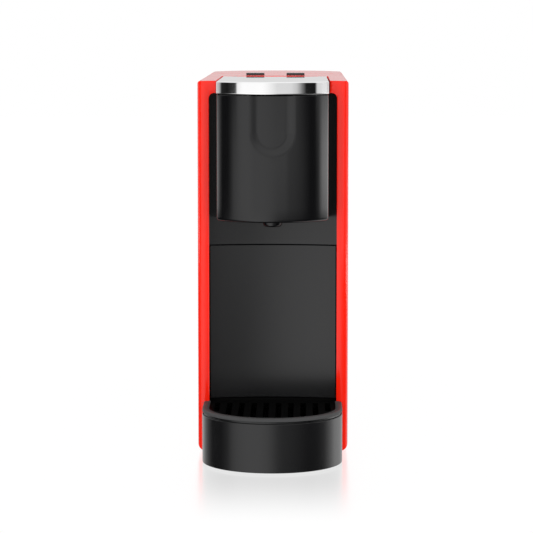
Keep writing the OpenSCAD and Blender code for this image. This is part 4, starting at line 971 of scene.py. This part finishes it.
def grille_tree():
    """Cuts a row of long round-ended slots through a plate. Each slot ends short of the plate's
    round front, so the middle ones are the longest."""
    tree, given, out = new_tree("grille", {"Count": SLOT_COUNT, "Pitch": SLOT_PITCH,
                                           "Slot Width": SLOT_WIDTH, "Front Radius": 0.04,
                                           "Centre": 0.0, "Rear": 0.0, "Height": 0.0})
    first = geo_math(tree, "MULTIPLY", given.outputs["Pitch"],
                     geo_math(tree, "MULTIPLY_ADD", given.outputs["Count"], -0.5, 0.5))
    start = geo(tree, "ShaderNodeCombineXYZ", X=first).outputs[0]
    step = geo(tree, "ShaderNodeCombineXYZ", X=given.outputs["Pitch"]).outputs[0]
    row = geo(tree, "GeometryNodeMeshLine", Count=given.outputs["Count"], Start_Location=start,
              Offset=step)
    x = geo(tree, "ShaderNodeSeparateXYZ", Vector=geo(tree, "GeometryNodeInputPosition").outputs[0])
    x = x.outputs["X"]
    squared = geo_math(tree, "MULTIPLY", x, x)
    radius = given.outputs["Front Radius"]
    reach = geo_math(tree, "SQRT", geo_math(tree, "SUBTRACT", geo_math(tree, "MULTIPLY", radius, radius),
                                            squared))
    slot_front = geo_math(tree, "SUBTRACT", given.outputs["Centre"], reach)
    length = geo_math(tree, "SUBTRACT", given.outputs["Rear"], slot_front)
    middle = geo_math(tree, "MULTIPLY", geo_math(tree, "ADD", given.outputs["Rear"], slot_front), 0.5)
    spread = geo(tree, "GeometryNodeSetPosition", Geometry=row.outputs[0],
                 Position=geo(tree, "ShaderNodeCombineXYZ", X=x, Y=middle,
                              Z=given.outputs["Height"]).outputs[0])
    stored = geo(tree, "GeometryNodeStoreNamedAttribute", Geometry=spread.outputs[0], Name="reach",
                 Value=length)
    bar = geo(tree, "GeometryNodeMeshCube", Size=(1.0, 1.0, 1.0))
    named = geo(tree, "GeometryNodeInputNamedAttribute", Name="reach")
    size = geo(tree, "ShaderNodeCombineXYZ", X=given.outputs["Slot Width"], Y=named.outputs[0],
               Z=0.02)
    bars = geo(tree, "GeometryNodeInstanceOnPoints", Points=stored.outputs[0],
               Instance=bar.outputs["Mesh"], Scale=size.outputs[0])
    end_r = geo_math(tree, "MULTIPLY", given.outputs["Slot Width"], 0.5)
    end = geo(tree, "GeometryNodeMeshCylinder", Vertices=28, Radius=end_r, Depth=0.02)
    cutters = tree.nodes.new("GeometryNodeJoinGeometry")
    tree.links.new(bars.outputs[0], cutters.inputs[0])
    half = geo_math(tree, "MULTIPLY", named.outputs[0], 0.5)
    for side in (-1.0, 1.0):
        shift = geo(tree, "ShaderNodeCombineXYZ", Y=geo_math(tree, "MULTIPLY", half, side))
        moved = geo(tree, "GeometryNodeSetPosition", Geometry=stored.outputs[0],
                    Offset=shift.outputs[0])
        ends = geo(tree, "GeometryNodeInstanceOnPoints", Points=moved.outputs[0],
                   Instance=end.outputs["Mesh"])
        tree.links.new(ends.outputs[0], cutters.inputs[0])
    solid_cutters = geo(tree, "GeometryNodeRealizeInstances", Geometry=cutters.outputs[0])
    cut = tree.nodes.new("GeometryNodeMeshBoolean")
    cut.operation = "DIFFERENCE"
    cut.solver = "EXACT"
    cut.inputs["Self Intersection"].default_value = True
    tree.links.new(given.outputs["Geometry"], cut.inputs["Mesh 1"])
    tree.links.new(solid_cutters.outputs[0], cut.inputs["Mesh 2"])
    close_tree(tree, given, out, cut.outputs["Mesh"])
    return tree


def grille_plate():
    low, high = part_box("cup_grille")
    work = bmesh.new()
    stack_rings(work, lambda inset: tray_plan(RING_WIDTH + 0.1 * MM + inset),
                [(0.0, low.z), (0.0, high.z)])
    plate = mesh_from("grille_blank", work)
    return combine(plate, rear_gap(0.1 * MM, low.z, high.z, 0.0), "UNION")


grille_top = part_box("cup_grille")[1].z
tray_centre = ring_low.y + TRAY_RADIUS
bowl_black = moulded_plastic("bowl_black", (0.007, 0.007, 0.0075), 0.17, grain=0.0005)
ring_black = moulded_plastic("ring_black", (0.062, 0.062, 0.063), 0.5, grain=0.008, grain_size=0.4,
                             ior=1.18)
grille_black = moulded_plastic("grille_black", (0.001, 0.001, 0.001), 0.34, grain=0.002, ior=1.04)
tray_body = add_piece("tray_body", bowl_mesh(), bowl_black, "tray", "gloss_black", "tray_bowl")
ease_edges(tray_body, 0.4, degrees=50, steps=2)
tray_ring = add_piece("tray_ring", ring_mesh(), ring_black, "tray", "satin_black", "tray_rim")
ease_edges(tray_ring, 0.3, degrees=60, steps=2)
grille = grow("grille", grille_tree(), grille_plate(), grille_black,
              {"Front Radius": TRAY_RADIUS - RING_WIDTH - SLOT_MARGIN, "Centre": tray_centre,
               "Rear": ring_high.y + 0.4 * MM - SLOT_REAR, "Height": grille_top})
grille_piece = add_piece("cup_grille_plate", grille, grille_black, "tray", "gloss_black", "cup_grille")
ease_edges(grille_piece, 0.3, degrees=60, steps=2)

# ---------------------------------------------------------------------------------------------
# Capsule bin: a plain open box of black polypropylene behind the lower front.
bin_black = moulded_plastic("bin_black", (0.018, 0.018, 0.018), 0.36, grain=0.01)
eased_moulding("bin_box", "capsule_bin", bin_black, "bin", "satin_black", 0.5)

# ---------------------------------------------------------------------------------------------
# Buttons: two small black keys behind the lever, each on a spring over its switch.
key_black = moulded_plastic("key_black", (0.006, 0.006, 0.006), 0.22, grain=0.004)
eased_moulding("key_cap_left", "button_left", key_black, "key_left", "gloss_black", 0.5)
eased_moulding("key_cap_right", "button_right", key_black, "key_right", "gloss_black", 0.5)

# ---------------------------------------------------------------------------------------------
# Water tank: a clear SAN moulding that lifts out, under a red lid of the casing's own plastic.
# The outlet valve in its collar is white acetal on a steel spring.


def clear_moulding(name, tint, roughness):
    """Clear moulded plastic with faint flow marks."""
    material = bpy.data.materials.new(name)
    material.use_nodes = True
    tree = material.node_tree
    shader = tree.nodes["Principled BSDF"]
    place = add_node(tree, "TexCoord").outputs["Object"]
    cloud = add_node(tree, "TexNoise", Vector=place, Scale=18.0, Detail=3.0).outputs[0]
    colour = ramp_by(tree, cloud, [(0.3, [c * 0.97 for c in tint]), (0.7, tint)])
    tree.links.new(colour, shader.inputs["Base Color"])
    shader.inputs["Transmission Weight"].default_value = 1.0
    shader.inputs["IOR"].default_value = 1.49
    haze = add_node(tree, "MapRange", Value=cloud, To_Min=roughness * 0.6, To_Max=roughness * 1.4)
    tree.links.new(haze.outputs[0], shader.inputs["Roughness"])
    bump = add_node(tree, "Bump", Height=cloud, Strength=0.5, Distance=0.05 * MM)
    tree.links.new(bump.outputs[0], shader.inputs["Normal"])
    return material


clear_tank = clear_moulding("clear_tank", (0.86, 0.92, 0.94), 0.05)
eased_moulding("tank_body", "water_tank", clear_tank, "tank", "tank_clear", 0.5)
eased_moulding("lid_red", "tank_lid", red_gloss, "lid", "red_shell", CASING_EASE, arcs=[crown])
acetal = moulded_plastic("white_acetal", (0.78, 0.78, 0.74), 0.3, grain=0.005)
finish_nodes(acetal, "tank_valve", "tank_spigot", "flow_meter")

# ---------------------------------------------------------------------------------------------
# Rear: a black panel with vents and the mains socket, which has three flat pins in a recess.
rear_black = moulded_plastic("rear_black", (0.016, 0.016, 0.016), 0.4, grain=0.02)
finish_nodes(rear_black, "rear_panel", "power_inlet")

# ---------------------------------------------------------------------------------------------
# Brew unit: a glass-filled nylon frame and piston, with steel links, pins and outlet plate.


def brushed_steel(name, colour, along=(1, 14, 14), roughness=0.3):
    """Bar steel with fine lines drawn along one direction."""
    material = bpy.data.materials.new(name)
    material.use_nodes = True
    tree = material.node_tree
    shader = tree.nodes["Principled BSDF"]
    place = add_node(tree, "TexCoord").outputs["Object"]
    stretched = add_node(tree, "Mapping", Vector=place, Scale=along).outputs[0]
    lines = add_node(tree, "TexNoise", Vector=stretched, Scale=220.0, Detail=6.0).outputs[0]
    tint = ramp_by(tree, lines, [(0.3, [c * 0.85 for c in colour]), (0.7, colour)])
    tree.links.new(tint, shader.inputs["Base Color"])
    shader.inputs["Metallic"].default_value = 1.0
    rough = add_node(tree, "MapRange", Value=lines, To_Min=roughness * 0.7, To_Max=roughness * 1.3)
    tree.links.new(rough.outputs[0], shader.inputs["Roughness"])
    bump = add_node(tree, "Bump", Height=lines, Strength=0.5, Distance=0.02 * MM)
    tree.links.new(bump.outputs[0], shader.inputs["Normal"])
    return material


nylon = moulded_plastic("glass_filled_nylon", (0.035, 0.035, 0.036), 0.48, drift=0.18, grain=0.03)
piston_nylon = moulded_plastic("piston_nylon", (0.16, 0.16, 0.16), 0.42, drift=0.12, grain=0.02)
bar_steel = brushed_steel("bar_steel", (0.62, 0.62, 0.63))
spring_steel = brushed_steel("spring_steel", (0.55, 0.55, 0.57), along=(3, 3, 3), roughness=0.22)
seal_red = rubber("seal_silicone", (0.42, 0.05, 0.03), 0.45)
finish_nodes(nylon, "brew_frame")
finish_nodes(piston_nylon, "brew_piston")
finish_nodes(bar_steel, "lever_pin", "feed_tube", "outlet_plate", "toggle_axle", "toggle_links",
             "link_pins", "lid_pins")
finish_nodes(spring_steel, "key_spring_left", "key_spring_right", "tank_valve_spring")
finish_nodes(seal_red, "spigot_seal", "piston_seal")

# ---------------------------------------------------------------------------------------------
# Water circuit: a cast aluminium heater with a steel-sheathed rod, a vibration pump on rubber
# mounts, a flow meter and silicone hoses.


def cast_metal(name, colour, roughness, pit):
    """Sand-blasted casting: grey, pitted and slightly stained."""
    material = bpy.data.materials.new(name)
    material.use_nodes = True
    tree = material.node_tree
    shader = tree.nodes["Principled BSDF"]
    place = add_node(tree, "TexCoord").outputs["Object"]
    stain = add_node(tree, "TexNoise", Vector=place, Scale=60.0, Detail=6.0).outputs[0]
    tint = ramp_by(tree, stain, [(0.3, [c * 0.72 for c in colour]), (0.65, colour)])
    tree.links.new(tint, shader.inputs["Base Color"])
    shader.inputs["Metallic"].default_value = 0.9
    shader.inputs["Roughness"].default_value = roughness
    pits = add_node(tree, "TexVoronoi", Vector=place, Scale=1600.0).outputs["Distance"]
    bump = add_node(tree, "Bump", Height=pits, Strength=0.6, Distance=pit * MM)
    tree.links.new(bump.outputs[0], shader.inputs["Normal"])
    return material


def silicone(name, tint):
    """Milky silicone hose that lets some light through."""
    material = moulded_plastic(name, tint, 0.35, drift=0.06, grain=0.01)
    shader = material.node_tree.nodes["Principled BSDF"]
    shader.inputs["Transmission Weight"].default_value = 0.45
    shader.inputs["Subsurface Weight"].default_value = 0.3
    return material


finish_nodes(cast_metal("cast_aluminium", (0.62, 0.63, 0.64), 0.45, 0.06), "thermoblock")
finish_nodes(cast_metal("heater_sheath", (0.42, 0.36, 0.31), 0.35, 0.02), "heating_rod", "thermostat")
finish_nodes(cast_metal("pump_iron", (0.09, 0.09, 0.1), 0.5, 0.05), "pump")
finish_nodes(foot_rubber, "pump_mounts")
finish_nodes(silicone("hose_silicone", (0.74, 0.76, 0.74)), "suction_hose", "pump_hose", "pressure_tube")

# ---------------------------------------------------------------------------------------------
# Electrics: two green circuit boards with plain dark components, and the key switches.


def circuit_board(name):
    """Solder mask with paler copper tracks under it."""
    material = bpy.data.materials.new(name)
    material.use_nodes = True
    tree = material.node_tree
    shader = tree.nodes["Principled BSDF"]
    place = add_node(tree, "TexCoord").outputs["Object"]
    tracks = add_node(tree, "TexVoronoi", Vector=place, Scale=260.0)
    tracks.distance = "MANHATTAN"
    mask = ramp_by(tree, tracks.outputs["Distance"],
                   [(0.42, (0.006, 0.075, 0.022)), (0.46, (0.02, 0.17, 0.05))])
    tree.links.new(mask, shader.inputs["Base Color"])
    shader.inputs["Roughness"].default_value = 0.28
    bump = add_node(tree, "Bump", Height=tracks.outputs["Distance"], Strength=0.4, Distance=0.03 * MM)
    tree.links.new(bump.outputs[0], shader.inputs["Normal"])
    return material


finish_nodes(circuit_board("solder_mask"), "control_board", "button_board")
finish_nodes(moulded_plastic("switch_black", (0.02, 0.02, 0.02), 0.35, grain=0.01), "key_switches")
